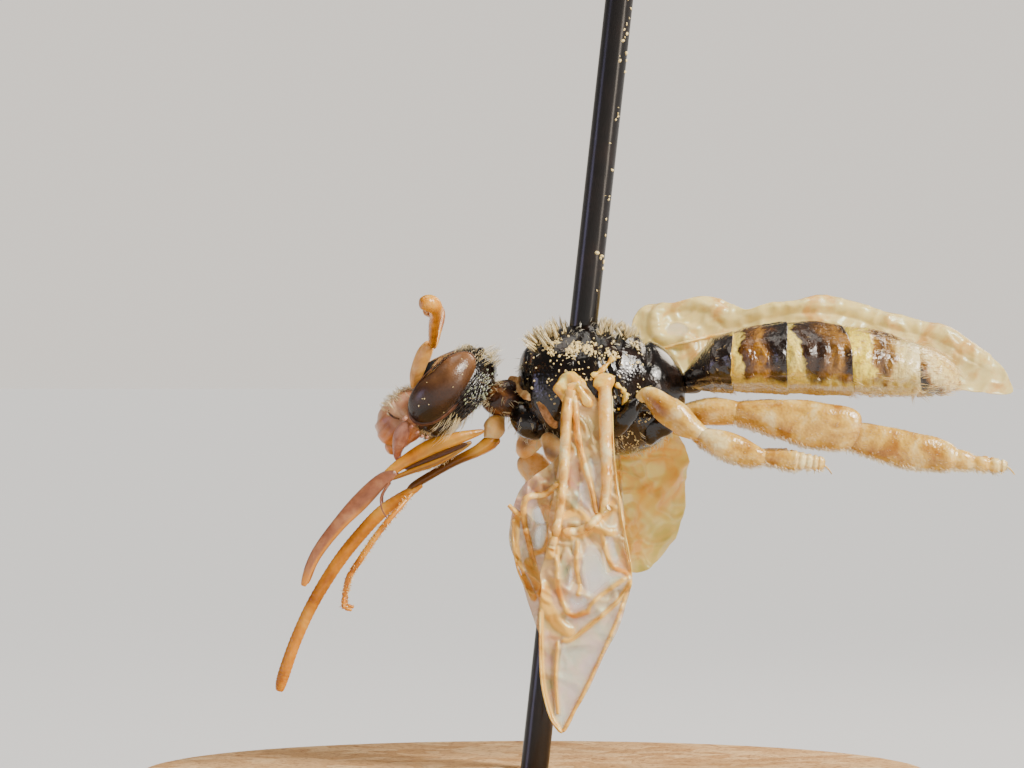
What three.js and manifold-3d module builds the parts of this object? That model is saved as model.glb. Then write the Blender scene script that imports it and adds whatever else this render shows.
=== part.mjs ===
// A small banded solitary bee, dried and mounted on an insect pin in a round base.
//
// Units are millimetres, +Z is up, and the origin is the centre of the base's underside.
// +X runs from the head towards the tip of the abdomen, and the bee's left side is at -Y.
// The bee's own sizes are measured from the centre of its thorax, which `T` places.
// Solids reach the tips of the coat; limbs, wings and mouthparts are kept about half a
// millimetre thick, and the looks made over them carry the true, thinner section.

import * as THREE from 'three';
import { mergeVertices } from 'three/addons/utils/BufferGeometryUtils.js';
import Module from 'manifold-3d';

const wasm = await Module();
wasm.setup();

// ---------------------------------------------------------------- driving dimensions

const BASE_DIAMETER = 13;
const BASE_HEIGHT = 3;
const BASE_CHAMFER = 0.35;

const PIN_DIAMETER = 0.45;
const PIN_LEAN = THREE.MathUtils.degToRad(6.3); // the top leans towards the abdomen
const PIN_IN_BASE = 2.2;
const PIN_TOP_ABOVE_THORAX = 6.7;
const PIN_HEAD_RADIUS = 0.62;

const THORAX_ABOVE_BASE = 6.1; // thorax centre over the top of the base
const THORAX_HALF_WIDTH = 1.2;
const ABDOMEN_HALF_WIDTH = 1.12;
const HEAD_TILT = THREE.MathUtils.degToRad(48); // vertex-to-mouth line over the level
const EYE_HALF_LENGTH = 0.74;
const EYE_HALF_DEPTH = 0.38;
const LIMB_HALF = 0.25; // half the least thickness of a wing, leg or feeler
const GAP = 0.03; // clearance between neighbouring solids

// The pin stands at the base's centre, and the thorax hangs on it at its height.
const T = new THREE.Vector3(
  (THORAX_ABOVE_BASE + 1) * Math.tan(PIN_LEAN), 0, BASE_HEIGHT + THORAX_ABOVE_BASE);

// ---------------------------------------------------------------- materials

/** A standard material of one colour. */
const finish = (color, roughness = 0.5, metalness = 0) =>
  new THREE.MeshStandardMaterial({ color, roughness, metalness });

const CORK = finish('#b98a58', 0.9);
const PIN_STEEL = finish('#2a2426', 0.25, 0.8);
const PIN_KNOB = finish('#c9a35a', 0.35);
const BLACK_SHELL = finish('#17130f', 0.3);
const EYE_BROWN = finish('#4a2a18', 0.2);
const FACE_ROSE = finish('#d9a078', 0.5);
const AMBER = finish('#c07a3a', 0.4);
const RED_BROWN = finish('#7a3a1c', 0.35);
const CREAM = finish('#e3cfa0', 0.5);
const WING_FILM = finish('#e0d2b0', 0.3);
const BAND_YELLOW = finish('#d8c074', 0.4);
const BAND_BROWN = finish('#5a3418', 0.35);

// ---------------------------------------------------------------- shape helpers

/** A point given from the thorax centre, as a vector in the part's frame. */
const at = (x, y, z) => new THREE.Vector3(x, y, z).add(T);

/** A station of a loft: its centre from the thorax centre and its two half-sizes. */
const station = (x, y, z, wide, deep = LIMB_HALF) => ({ centre: at(x, y, z), wide, deep });

const signedPower = (value, power) => Math.sign(value) * Math.abs(value) ** power;

/**
 * A closed body along a spine of stations. `broad` is the direction of the wide half-size,
 * `blunt` below 1 rounds the ends off more squarely, and `square` above 2 flattens the section.
 */
function loft(stations, { broad, sides = 8, rows = 7, blunt = 0.6, square = 2 } = {}) {
  const spine = new THREE.CatmullRomCurve3(stations.map((s) => s.centre));
  const sizes = new THREE.CatmullRomCurve3(
    stations.map((s) => new THREE.Vector3(s.wide, s.deep, 0)));
  const geometry = new THREE.SphereGeometry(1, sides, rows);
  const position = geometry.attributes.position;
  const unit = new THREE.Vector3();
  for (let i = 0; i < position.count; i += 1) {
    unit.fromBufferAttribute(position, i);
    const t = THREE.MathUtils.clamp((1 - unit.y) / 2, 0, 1);
    const angle = Math.atan2(unit.z, unit.x);
    const ring = Math.hypot(unit.x, unit.z) ** blunt;
    const size = sizes.getPoint(t);
    const tangent = spine.getTangent(t);
    const wideAxis = broad.clone().addScaledVector(tangent, -broad.dot(tangent)).normalize();
    const deepAxis = tangent.clone().cross(wideAxis);
    const point = spine.getPoint(t)
      .addScaledVector(wideAxis, ring * size.x * signedPower(Math.cos(angle), 2 / square))
      .addScaledVector(deepAxis, ring * size.y * signedPower(Math.sin(angle), 2 / square));
    position.setXYZ(i, point.x, point.y, point.z);
  }
  return geometry;
}

const UP = new THREE.Vector3(0, 0, 1);
const LEVEL = new THREE.Vector3(0, 1, 0);

/** An ellipsoid round `centre`, turned about Y, with an optional reshaping of its unit ball. */
function ball(centre, [rx, ry, rz], { tilt = 0, sides = 14, rows = 10, reshape } = {}) {
  const geometry = new THREE.SphereGeometry(1, sides, rows);
  if (reshape) {
    const position = geometry.attributes.position;
    const unit = new THREE.Vector3();
    for (let i = 0; i < position.count; i += 1) {
      unit.fromBufferAttribute(position, i);
      reshape(unit);
      position.setXYZ(i, unit.x, unit.y, unit.z);
    }
  }
  return geometry.scale(rx, ry, rz).rotateY(tilt).translate(centre.x, centre.y, centre.z);
}

/** A turned body: the profile runs from the axis back to the axis, foot at the origin. */
const turned = (profile, sides) =>
  new THREE.LatheGeometry(profile.map(([r, h]) => new THREE.Vector2(r, h)), sides)
    .rotateX(Math.PI / 2);

// ---------------------------------------------------------------- solids for cutting

/** The geometry as a closed manifold solid. */
function solidOf(geometry) {
  const bare = geometry.clone();
  bare.deleteAttribute('normal');
  bare.deleteAttribute('uv');
  const merged = mergeVertices(bare, 1e-5);
  const index = Array.from(merged.index.array);
  const kept = [];
  for (let i = 0; i < index.length; i += 3) {
    const [a, b, c] = index.slice(i, i + 3);
    if (a !== b && b !== c && c !== a) kept.push(a, b, c);
  }
  return new wasm.Manifold(new wasm.Mesh({
    numProp: 3,
    vertProperties: Float32Array.from(merged.attributes.position.array),
    triVerts: Uint32Array.from(kept),
  }));
}

/** A solid's surface as a three.js geometry. */
function geometryOf(solid) {
  const mesh = solid.getMesh();
  const geometry = new THREE.BufferGeometry();
  geometry.setAttribute('position', new THREE.BufferAttribute(mesh.vertProperties, 3));
  geometry.setIndex(new THREE.BufferAttribute(mesh.triVerts, 1));
  geometry.computeVertexNormals();
  return geometry;
}

/** The same body pushed out by the clearance along its smooth normals. */
function grown(geometry) {
  const smooth = geometry.clone();
  smooth.deleteAttribute('normal');
  smooth.deleteAttribute('uv');
  const merged = mergeVertices(smooth, 1e-5);
  merged.computeVertexNormals();
  const { position, normal } = merged.attributes;
  for (let i = 0; i < position.count; i += 1) {
    position.setXYZ(i,
      position.getX(i) + GAP * normal.getX(i),
      position.getY(i) + GAP * normal.getY(i),
      position.getZ(i) + GAP * normal.getZ(i));
  }
  return merged;
}

/** The largest single body in a solid that a cut may have split. */
const largest = (solid) =>
  solid.decompose().reduce((best, part) => (part.volume() > best.volume() ? part : best));

/**
 * Every piece cut back where it meets the pieces listed before it, as named meshes. Pieces of
 * one family were parted from one body, so they already clear each other.
 */
function assemble(pieces) {
  const group = new THREE.Group();
  const cutters = [];
  for (const { name, geometry, material, family } of pieces) {
    geometry.computeBoundingBox();
    let solid = solidOf(geometry);
    for (const cutter of cutters) {
      const related = family !== undefined && family === cutter.family;
      if (!related && cutter.box.intersectsBox(geometry.boundingBox)) {
        solid = solid.subtract(cutter.solid);
      }
    }
    const clean = largest(solid).setTolerance(GAP * 0.5);
    const mesh = new THREE.Mesh(geometryOf(clean), material);
    mesh.name = name;
    group.add(mesh);
    const outer = grown(geometry);
    outer.computeBoundingBox();
    cutters.push({ box: outer.boundingBox, solid: solidOf(outer), family });
  }
  return group;
}

const piece = (name, geometry, material, family) => ({ name, geometry, material, family });

// ---------------------------------------------------------------- stand and pin

/** The leaning pin, its knob, and the chamfered round base. */
function mount() {
  const radius = PIN_DIAMETER / 2;
  const foot = new THREE.Vector3(0, 0, BASE_HEIGHT - PIN_IN_BASE);
  const rise = THORAX_ABOVE_BASE + PIN_IN_BASE + PIN_TOP_ABOVE_THORAX;
  const length = rise / Math.cos(PIN_LEAN);
  const lean = (geometry) => geometry.rotateY(PIN_LEAN)
    .translate(foot.x - PIN_IN_BASE * Math.tan(PIN_LEAN), foot.y, foot.z);
  const shaft = turned([[0, 0], [radius, 1.2], [radius, length], [0, length]], 12);
  const knob = new THREE.SphereGeometry(PIN_HEAD_RADIUS, 12, 8).scale(1, 1, 0.85)
    .translate(0, 0, length + PIN_HEAD_RADIUS * 0.45);
  const outer = BASE_DIAMETER / 2;
  const base = turned([
    [0, 0], [outer - BASE_CHAMFER, 0], [outer, BASE_CHAMFER],
    [outer, BASE_HEIGHT - BASE_CHAMFER], [outer - BASE_CHAMFER, BASE_HEIGHT], [0, BASE_HEIGHT],
  ], 36);
  return [
    piece('insect_pin', lean(shaft), PIN_STEEL),
    piece('insect_pin_head', lean(knob), PIN_KNOB),
    piece('stand_base', base, CORK),
  ];
}

// ---------------------------------------------------------------- head

const EYE = at(-2.27, 0, 0.03);
const DOWN_FACE = new THREE.Vector3(-Math.cos(HEAD_TILT), 0, -Math.sin(HEAD_TILT));
const FORWARD = new THREE.Vector3(-Math.sin(HEAD_TILT), 0, Math.cos(HEAD_TILT));

/** A point of the head: down the face, out to the side, and forward of the eyes' middle. */
const onHead = (down, side, forward) => EYE.clone()
  .addScaledVector(DOWN_FACE, down).addScaledVector(FORWARD, forward)
  .add(new THREE.Vector3(0, side, 0));

const headStation = (down, side, forward, wide, deep = LIMB_HALF) =>
  ({ centre: onHead(down, side, forward), wide, deep });

/** Both compound eyes: long ovals set into the sides of the head. */
const eyes = () => ['left', 'right'].map((name, i) => {
  const side = i ? 1 : -1;
  return piece(`eye_${name}`,
    ball(onHead(0, side * 0.94, 0), [EYE_HALF_DEPTH, 0.34, EYE_HALF_LENGTH], {
      tilt: Math.PI / 2 - HEAD_TILT,
      sides: 12,
      rows: 10,
    }), EYE_BROWN);
});

/** The broad head, thick from face to nape, fuller at the crown than at the mouth. */
function head() {
  const reshape = (unit) => {
    const narrow = unit.z < 0 ? 1 + 0.22 * unit.z : 1;
    unit.y *= narrow;
    if (unit.x > 0) unit.x *= 0.95 - 0.12 * unit.z;
  };
  return [piece('head', ball(onHead(-0.05, 0, -0.2), [0.78, 1.24, 1.0], {
    tilt: Math.PI / 2 - HEAD_TILT, sides: 14, rows: 12, reshape,
  }), BLACK_SHELL)];
}

/** The pale clypeus with the labrum below it, bulging out of the lower face. */
const clypeus = () => [piece('clypeus', loft([
  headStation(0.3, 0, 0.22, 0.5, 0.3),
  headStation(0.72, 0, 0.28, 0.56, 0.36),
  headStation(1.18, 0, 0.16, 0.42, 0.3),
], { broad: LEVEL, sides: 10, rows: 7 }), FACE_ROSE)];

/** Jaws, crossed under the labrum. */
const mandibles = () => [-1, 1].map((side) => piece(
  `mandible_${side < 0 ? 'left' : 'right'}`, loft([
    headStation(0.82, side * 0.62, -0.02, 0.26),
    headStation(1.12, side * 0.46, -0.12, 0.26),
    headStation(1.34, side * 0.16, -0.16, 0.2, 0.2),
  ], { broad: UP, sides: 8, rows: 6 }), RED_BROWN));

/** A feeler: the scape from the face, then the flagellum that bends off it. */
function antenna(name, side, reach, droop) {
  return [
    piece(`antenna_scape_${name}`, loft([
      headStation(0.12, side * 0.3, 0.42, LIMB_HALF),
      headStation(-0.18, side * 0.42, 0.6, LIMB_HALF),
      headStation(-0.4, side * 0.55, 0.66, LIMB_HALF),
    ], { broad: LEVEL }), AMBER),
    piece(`antenna_flagellum_${name}`, loft([
      station(-2.42, side * (0.5 + 0.1 * reach), 0.78, LIMB_HALF),
      station(-2.37, side * (0.55 + 0.45 * reach), 1.02 - droop, LIMB_HALF),
      station(-2.4, side * (0.6 + 0.85 * reach), 1.24 - droop, LIMB_HALF),
      station(-2.43, side * (0.62 + 1.05 * reach), 1.3 - droop, LIMB_HALF * 1.1),
    ], { broad: LEVEL, rows: 8 }), AMBER),
  ];
}

// ---------------------------------------------------------------- proboscis

/** The folded-out tongue: its base under the head and the five strands that leave it. */
function proboscis() {
  const strand = (name, stations, rows = 9) =>
    piece(name, loft(stations, { broad: LEVEL, sides: 8, rows, blunt: 0.4 }), AMBER);
  const parts = [
    strand('proboscis_base', [
      station(-1.38, 0, -0.64, 0.34, 0.26),
      station(-1.8, 0, -0.98, 0.46, 0.25),
      station(-2.6, 0, -1.27, 0.44, 0.25),
      station(-2.95, 0, -1.48, 0.3, 0.22),
    ]),
    strand('glossa', [
      station(-2.75, 0, -1.52, 0.25), station(-3.4, 0, -2.08, 0.25),
      station(-4.05, 0, -2.95, 0.24), station(-4.62, 0, -3.98, 0.24),
      station(-4.89, 0, -4.86, 0.22),
    ], 12),
  ];
  for (const side of [-1, 1]) {
    const name = side < 0 ? 'left' : 'right';
    parts.push(
      strand(`galea_${name}`, [
        station(-2.7, side * 0.5, -1.16, 0.24), station(-3.35, side * 0.52, -1.47, 0.24),
        station(-3.92, side * 0.55, -2.1, 0.24), station(-4.38, side * 0.55, -2.78, 0.23),
        station(-4.52, side * 0.55, -3.16, 0.2, 0.2),
      ], 10),
      strand(`labial_palp_${name}`, [
        station(-2.8, side * 0.42, -1.72, 0.22), station(-3.2, side * 0.5, -2.2, 0.22),
        station(-3.62, side * 0.52, -2.82, 0.22), station(-3.8, side * 0.52, -3.5, 0.2, 0.2),
      ]));
  }
  return parts;
}

// ---------------------------------------------------------------- thorax

/** A round section of the trunk at x, from its lowest to its highest point. */
const trunk = (x, low, high, halfWidth) =>
  station(x, 0, (low + high) / 2, halfWidth, (high - low) / 2);

/** A box from the thorax centre's frame, for parting a body that was modelled whole. */
const slab = (fromX, toX, fromZ, toZ) => solidOf(
  new THREE.BoxGeometry(toX - fromX, 4, toZ - fromZ)
    .translate(T.x + (fromX + toX) / 2, T.y, T.z + (fromZ + toZ) / 2));

const COLLAR_END = -0.92; // where the collar meets the mid-thorax
const MID_END = 0.62; // where the mid-thorax meets the scutellum and propodeum
const SCUTELLUM_END = 1.16;
const SCUTELLUM_FLOOR = 0.5;

/** The thorax modelled whole and parted into collar, mid-thorax, scutellum and propodeum. */
function thorax() {
  const w = THORAX_HALF_WIDTH;
  const whole = solidOf(loft([
    trunk(-1.3, -0.6, 0.74, w * 0.5), trunk(-0.95, -0.78, 1.06, w * 0.82),
    trunk(-0.4, -0.98, 1.25, w), trunk(0.2, -1.1, 1.24, w * 1.02),
    trunk(0.75, -1.12, 1.08, w * 0.96), trunk(1.25, -0.78, 0.86, w * 0.76),
    trunk(1.66, -0.26, 0.6, w * 0.44),
  ], { broad: LEVEL, sides: 18, rows: 14, blunt: 0.45 }));
  const far = 3;
  const cut = (name, box) =>
    piece(name, geometryOf(whole.intersect(box)), BLACK_SHELL, 'thorax');
  const rear = slab(MID_END + GAP, far, -far, far);
  const saddle = slab(MID_END + GAP, SCUTELLUM_END, SCUTELLUM_FLOOR, far);
  const saddleGap = slab(MID_END, SCUTELLUM_END + GAP, SCUTELLUM_FLOOR - GAP, far);
  return [
    cut('pronotum', slab(-far, COLLAR_END - GAP, -far, far)),
    cut('mesothorax', slab(COLLAR_END, MID_END, -far, far)),
    cut('scutellum', saddle),
    cut('propodeum', rear.subtract(saddleGap)),
  ];
}

/** The narrow neck between head and collar. */
const neck = () => [piece('neck', loft([
  trunk(-1.7, -0.5, 0.3, 0.34), trunk(-1.3, -0.52, 0.24, 0.36), trunk(-1.0, -0.5, 0.26, 0.4),
], { broad: LEVEL, sides: 10, rows: 6 }), AMBER)];

// ---------------------------------------------------------------- wings

/** Wing roots, the hanging left wings, the raised right forewing and hanging hindwing. */
function wings() {
  const blade = (name, stations, broad, rows = 12) =>
    piece(name, loft(stations, { broad, sides: 10, rows, square: 3, blunt: 0.5 }), WING_FILM);
  const alongX = new THREE.Vector3(1, 0, 0);
  const leaning = new THREE.Vector3(0, -0.42, 0.9);
  return [
    ...[-1, 1].map((side) => piece(`tegula_${side < 0 ? 'left' : 'right'}`,
      ball(at(-0.22, side * 1.16, 0.06), [0.25, 0.25, 0.34], { sides: 10, rows: 8 }), CREAM)),
    blade('forewing_left', [
      station(-0.1, -1.42, -0.1, 0.3), station(0.06, -1.45, -0.7, 0.42),
      station(0.1, -1.5, -2.1, 0.58), station(0.06, -1.55, -3.1, 0.76),
      station(-0.16, -1.52, -3.95, 0.63), station(-0.35, -1.45, -4.95, 0.34),
      station(-0.37, -1.4, -5.45, 0.2),
    ], alongX),
    blade('hindwing_left', [
      station(0.2, -1.3, -0.3, 0.25), station(0.0, -1.28, -1.15, 0.28),
      station(-0.68, -1.28, -1.86, 0.56), station(-0.68, -1.22, -2.6, 0.46),
      station(-0.5, -1.2, -3.5, 0.34), station(-0.42, -1.2, -4.3, 0.25),
    ], alongX),
    blade('forewing_right', [
      station(0.1, 1.3, 0.3, 0.26), station(1.45, 1.45, 0.74, 0.96),
      station(2.45, 1.5, 0.7, 0.76), station(3.7, 1.5, 0.86, 0.82),
      station(5.3, 1.48, 0.64, 0.74), station(6.5, 1.42, 0.34, 0.5),
      station(7.1, 1.4, 0.06, 0.24),
    ], leaning, 14),
    blade('hindwing_right', [
      station(0.4, 1.4, -0.1, 0.25), station(0.95, 1.75, -0.95, 0.55),
      station(1.16, 1.85, -1.6, 0.74), station(1.0, 1.85, -2.3, 0.6),
      station(0.78, 1.8, -3.02, 0.25),
    ], alongX),
  ];
}

// ---------------------------------------------------------------- legs

/** One leg in three solids, each a run of stations that starts inside the one before. */
function leg(pair, side, { femur, tibia, tarsus }) {
  const name = `${pair}_${side < 0 ? 'left' : 'right'}`;
  const segment = (kind, rows, stations) => piece(`leg_${kind}_${name}`, loft(
    stations.map(([x, y, z, wide, deep]) => station(x, side * y, z, wide, deep)),
    { broad: UP, rows, blunt: 0.45 }), CREAM);
  return [segment('femur', 8, femur), segment('tibia', 6, tibia), segment('tarsus', 6, tarsus)];
}

/** The middle and hind legs trail back on both sides alike. */
const trailingLegs = (side) => [
  ...leg('mid', side, {
    femur: [[0.5, 0.8, -0.5, 0.3], [0.84, 1.08, -0.2, 0.25], [1.35, 1.2, -0.36, 0.25],
      [1.93, 1.3, -0.8, 0.24]],
    tibia: [[1.84, 1.3, -0.84, 0.25], [2.35, 1.34, -0.98, 0.27], [2.86, 1.36, -1.04, 0.23]],
    tarsus: [[2.78, 1.36, -1.02, 0.22], [3.3, 1.34, -1.06, 0.22], [3.86, 1.3, -1.12, 0.2]],
  }),
  ...leg('hind', side, {
    femur: [[1.0, 0.55, -0.7, 0.32], [1.5, 0.72, -0.5, 0.27], [2.5, 0.86, -0.34, 0.25]],
    tibia: [[2.3, 0.86, -0.34, 0.25], [3.3, 0.92, -0.5, 0.35], [4.46, 0.95, -0.64, 0.5]],
    tarsus: [[4.3, 0.95, -0.74, 0.34], [5.26, 0.95, -0.95, 0.29], [5.95, 0.93, -1.15, 0.24],
      [6.78, 0.9, -1.2, 0.18, 0.2]],
  }),
];

/** The forelegs are folded under the thorax, each in its own way. */
const forelegs = () => [
  ...leg('fore', -1, {
    femur: [[-0.66, 0.45, -0.62, 0.32], [-0.5, 0.7, -0.98, 0.26], [0.1, 0.82, -1.32, 0.25]],
    tibia: [[0.02, 0.84, -1.4, 0.25], [-0.35, 0.82, -1.48, 0.26], [-0.76, 0.72, -1.58, 0.25]],
    tarsus: [[-0.72, 0.68, -1.66, 0.25], [-0.5, 0.55, -2.1, 0.25], [-0.2, 0.5, -2.75, 0.22]],
  }),
  ...leg('fore', 1, {
    femur: [[-0.66, 0.45, -0.62, 0.32], [-0.85, 0.75, -0.86, 0.27], [-1.02, 0.95, -1.04, 0.25]],
    tibia: [[-0.98, 0.96, -1.1, 0.26], [-0.75, 0.95, -1.35, 0.27], [-0.45, 0.9, -1.6, 0.25]],
    tarsus: [[-0.45, 0.88, -1.62, 0.25], [0.0, 0.8, -2.1, 0.25], [0.3, 0.75, -2.6, 0.22]],
  }),
];

/** The dark lobes that carry the forelegs under the collar. */
const foreCoxae = () => [-1, 1].map((side) => piece(
  `fore_coxa_${side < 0 ? 'left' : 'right'}`,
  ball(at(-0.86, side * 0.36, -0.46), [0.44, 0.34, 0.32], { tilt: 0.5, sides: 8, rows: 6 }),
  BLACK_SHELL));

// ---------------------------------------------------------------- abdomen

/** Where each ring of the abdomen ends, from its waist to its tip. */
const RING_ENDS = [1.66, 2.39, 3.27, 4.32, 5.44, 6.12];
const RING_CUT_BULGE = 0.18; // how far a ring's rear edge bows back over the sides

/** One closed abdomen, parted into its overlapping rings by bowed cuts. */
function abdomen() {
  const w = ABDOMEN_HALF_WIDTH;
  const whole = loft([
    trunk(1.55, -0.05, 0.3, w * 0.2), trunk(2.1, -0.04, 0.92, w * 0.8),
    trunk(3.1, -0.08, 1.14, w), trunk(4.2, -0.12, 1.13, w * 0.98),
    trunk(5.3, -0.12, 0.86, w * 0.72), trunk(6.1, -0.02, 0.3, w * 0.2),
  ], { broad: LEVEL, sides: 14, rows: 16, blunt: 0.35 });
  const reach = 2 * w;
  const cutter = (from, to) => {
    const slab = new THREE.BoxGeometry(to - from, reach * 1.2, reach * 1.4, 1, 8, 1);
    const position = slab.attributes.position;
    for (let i = 0; i < position.count; i += 1) {
      const off = position.getY(i) / w;
      position.setX(i, position.getX(i) + RING_CUT_BULGE * (0.5 - off * off));
    }
    return slab.translate(T.x + (from + to) / 2, T.y, T.z + 0.5);
  };
  return RING_ENDS.slice(1).map((end, i) => {
    const start = i ? RING_ENDS[i] + GAP : RING_ENDS[0] - 1;
    const stop = i === RING_ENDS.length - 2 ? end + 1 : end;
    const ring = solidOf(whole).intersect(solidOf(cutter(start, stop)));
    return piece(`abdomen_ring_${i + 1}`, geometryOf(largest(ring)),
      i % 2 ? BAND_YELLOW : BAND_BROWN, 'abdomen');
  });
}

// ---------------------------------------------------------------- the whole

// The large bodies come first, so that what grows from them is cut back to fit them.
const group = assemble([
  ...mount(),
  ...eyes(),
  ...clypeus(),
  ...head(),
  ...thorax(),
  ...abdomen(),
  ...foreCoxae(),
  ...neck(),
  ...wings(),
  ...trailingLegs(-1),
  ...trailingLegs(1),
  ...forelegs(),
  ...mandibles(),
  ...antenna('left', -1, 1, 0),
  ...antenna('right', 1, 1.1, 0.05),
  ...proboscis(),
]);

export default group;
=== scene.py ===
"""A small banded solitary bee, dried on an insect pin in a round cork base.

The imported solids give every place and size. Each sub-assembly of the bee is a class that models
its own meshes round them and dresses them. Wings, feelers, legs and mouthparts take their true thin
section here, and hair is solid strands. Lengths are in millimetres, places are from the centre of
the thorax where no line says otherwise, and a side is -1 on the bee's left and 1 on its right.
"""
import logging
import math
from dataclasses import dataclass, field
from enum import Enum
from typing import Callable, Protocol, Sequence

import bpy
import numpy as np
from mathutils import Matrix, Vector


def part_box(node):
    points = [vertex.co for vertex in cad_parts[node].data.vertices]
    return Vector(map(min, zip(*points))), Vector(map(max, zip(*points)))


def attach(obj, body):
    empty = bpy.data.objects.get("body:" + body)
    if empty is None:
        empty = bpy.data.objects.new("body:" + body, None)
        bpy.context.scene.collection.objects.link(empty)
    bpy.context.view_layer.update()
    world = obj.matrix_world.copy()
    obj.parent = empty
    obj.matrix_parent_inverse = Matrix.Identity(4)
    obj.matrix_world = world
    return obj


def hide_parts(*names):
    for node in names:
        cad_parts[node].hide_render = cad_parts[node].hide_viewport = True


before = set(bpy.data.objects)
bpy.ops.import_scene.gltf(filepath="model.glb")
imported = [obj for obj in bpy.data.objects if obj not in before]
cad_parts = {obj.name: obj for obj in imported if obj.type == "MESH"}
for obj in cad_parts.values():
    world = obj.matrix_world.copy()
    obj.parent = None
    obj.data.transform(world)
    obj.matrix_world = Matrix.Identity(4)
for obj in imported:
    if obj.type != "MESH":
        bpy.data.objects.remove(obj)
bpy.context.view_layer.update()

LOG = logging.getLogger("bee")

Array = np.ndarray
Tree = bpy.types.NodeTree
Socket = bpy.types.NodeSocket
Rows = Sequence[Sequence[float]]
Rule = Callable[[Array, Array], Array]
Routes = Sequence[tuple[float, Rows]]  # a width and a route in x and z for each
Stops = Sequence[tuple[float, str]]  # places and sRGB colours
Thing = bpy.types.Object
MM = 0.001  # metres in a millimetre
TURN = 2 * math.pi
ROOT = "root"
SIDES = ((-1, "left"), (1, "right"))  # the bee's own sides, along Y

BASE_LOW, BASE_HIGH = (np.array(corner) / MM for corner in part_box("stand_base"))
PIN_LEAN = math.radians(6.3)
PIN_RADIUS = 0.225
THORAX_ABOVE_BASE = 6.1
PIN_ENTRY = 1  # height of the pin's way in over the thorax centre
THORAX = np.array([(THORAX_ABOVE_BASE + PIN_ENTRY) * math.tan(PIN_LEAN), 0,
    BASE_HIGH[2] + THORAX_ABOVE_BASE])
LEVEL = (0, 1, 0)
UP = (0, 0, 1)
HEAD_TILT = math.radians(48)  # the line from crown to mouth, over the level


# ---- numbers and curves


def spline(points: Array, t: Array) -> Array:
    """Points on a Catmull-Rom curve.

    Args:
        points: The stations that it passes through.
        t: Places along it, from 0 to 1.

    Returns:
        One row for each place.
    """
    last = len(points) - 1
    x = np.clip(t, 0, 1) * last
    i = np.minimum(x.astype(int), last - 1)
    f = (x - i)[:, None]
    padded = np.vstack([2 * points[0] - points[1], points, 2 * points[-1] - points[-2]])
    a, b, c, d = padded[i], padded[i + 1], padded[i + 2], padded[i + 3]
    return 0.5 * (2 * b + (c - a) * f + (2 * a - 5 * b + 4 * c - d) * f**2 + (3 * b - a - 3 * c + d) * f**3)


def unit(vectors: Array) -> Array:
    """The same vectors, each one long."""
    return vectors / np.maximum(np.linalg.norm(vectors, axis=-1, keepdims=True), 1e-12)


def bell(x: Array, middle: float, width: float) -> Array:
    """A smooth hump of height one round a middle."""
    return np.exp(-(((x - middle) / width) ** 2))


def ease(x: Array, low: float, high: float) -> Array:
    """A smooth step from 0 at low to 1 at high."""
    f = np.clip((x - low) / (high - low), 0, 1)
    return f * f * (3 - 2 * f)


def signed_power(x: Array, power: float) -> Array:
    """A power that keeps its sign, for squarer or rounder sections."""
    return np.sign(x) * np.abs(x) ** power


@dataclass(frozen=True)
class Waves:
    """Smooth random waves in space."""

    size: float  # the usual wavelength
    seed: int
    count: int = 12  # how many plane waves are added up

    def at(self, points: Array) -> Array:
        """Heights at points.

        Args:
            points: Where.

        Returns:
            A height for each, mostly between -1 and 1.
        """
        draws = np.random.default_rng(self.seed)
        ways = unit(draws.normal(size=(self.count, 3)))
        ways = ways * (TURN / self.size * draws.uniform(0.6, 1.5, (self.count, 1)))
        sums = np.sin(points @ ways.T + draws.uniform(0, TURN, self.count)).sum(1)
        return sums / math.sqrt(self.count / 2) * 0.7

    def ridges(self, points: Array) -> Array:
        """Sharp creases at points, from about -1 to 1."""
        return 1 - 2 * np.minimum(np.abs(self.at(points)) * 1.4, 1)


# ---- surfaces


class Surface(Protocol):
    """A form given by two numbers from 0 to 1: around it and along it."""

    def at(self, around: Array, along: Array) -> Array:
        """Its points, in the part's frame.

        Args:
            around: Places round it.
            along: Places along it.

        Returns:
            A point for each pair of places.
        """
        ...


@dataclass
class Loft:
    """A closed body along a spine."""

    stations: Rows  # rows of x, y, z, then the wide and deep half-sizes
    broad: Sequence[float] = LEVEL  # the direction of the wide half-size
    blunt: float = 0.5  # the less it is, the squarer the ends
    square: float = 2.0  # above 2, the section is squarer than an ellipse
    relief: Rule | None = None  # height over the plain form, from points and places along it

    def at(self, around: Array, along: Array) -> Array:
        """Its points, in the part's frame.

        Args:
            around: Places round it.
            along: Places along it.

        Returns:
            The points.
        """
        rows = np.array(self.stations, float)
        t = (1 - np.cos(math.pi * along)) / 2
        ring = np.maximum(np.sin(math.pi * along), 0) ** self.blunt
        centre, sizes = spline(rows[:, :3], t), spline(rows[:, 3:5], t)
        step = 1e-3
        tangent = unit(spline(rows[:, :3], np.minimum(t + step, 1))
            - spline(rows[:, :3], np.maximum(t - step, 0)))
        broad = np.array(self.broad, float)
        wide = unit(broad - tangent * (tangent @ broad)[:, None])
        deep = np.cross(tangent, wide)
        angle = TURN * around
        x = signed_power(np.cos(angle), 2 / self.square) * sizes[:, 0]
        y = signed_power(np.sin(angle), 2 / self.square) * sizes[:, 1]
        out = wide * x[:, None] + deep * y[:, None]
        points = centre + out * ring[:, None]
        if self.relief is not None:
            points = points + unit(out) * (self.relief(points, t) * ring)[:, None]
        return points + THORAX


def mirrored(rows: Rows, side: int) -> list[tuple[float, ...]]:
    """Rows of x, y, z and sizes with y put on a side."""
    return [(x, side * y, *rest) for x, y, *rest in rows]


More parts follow.
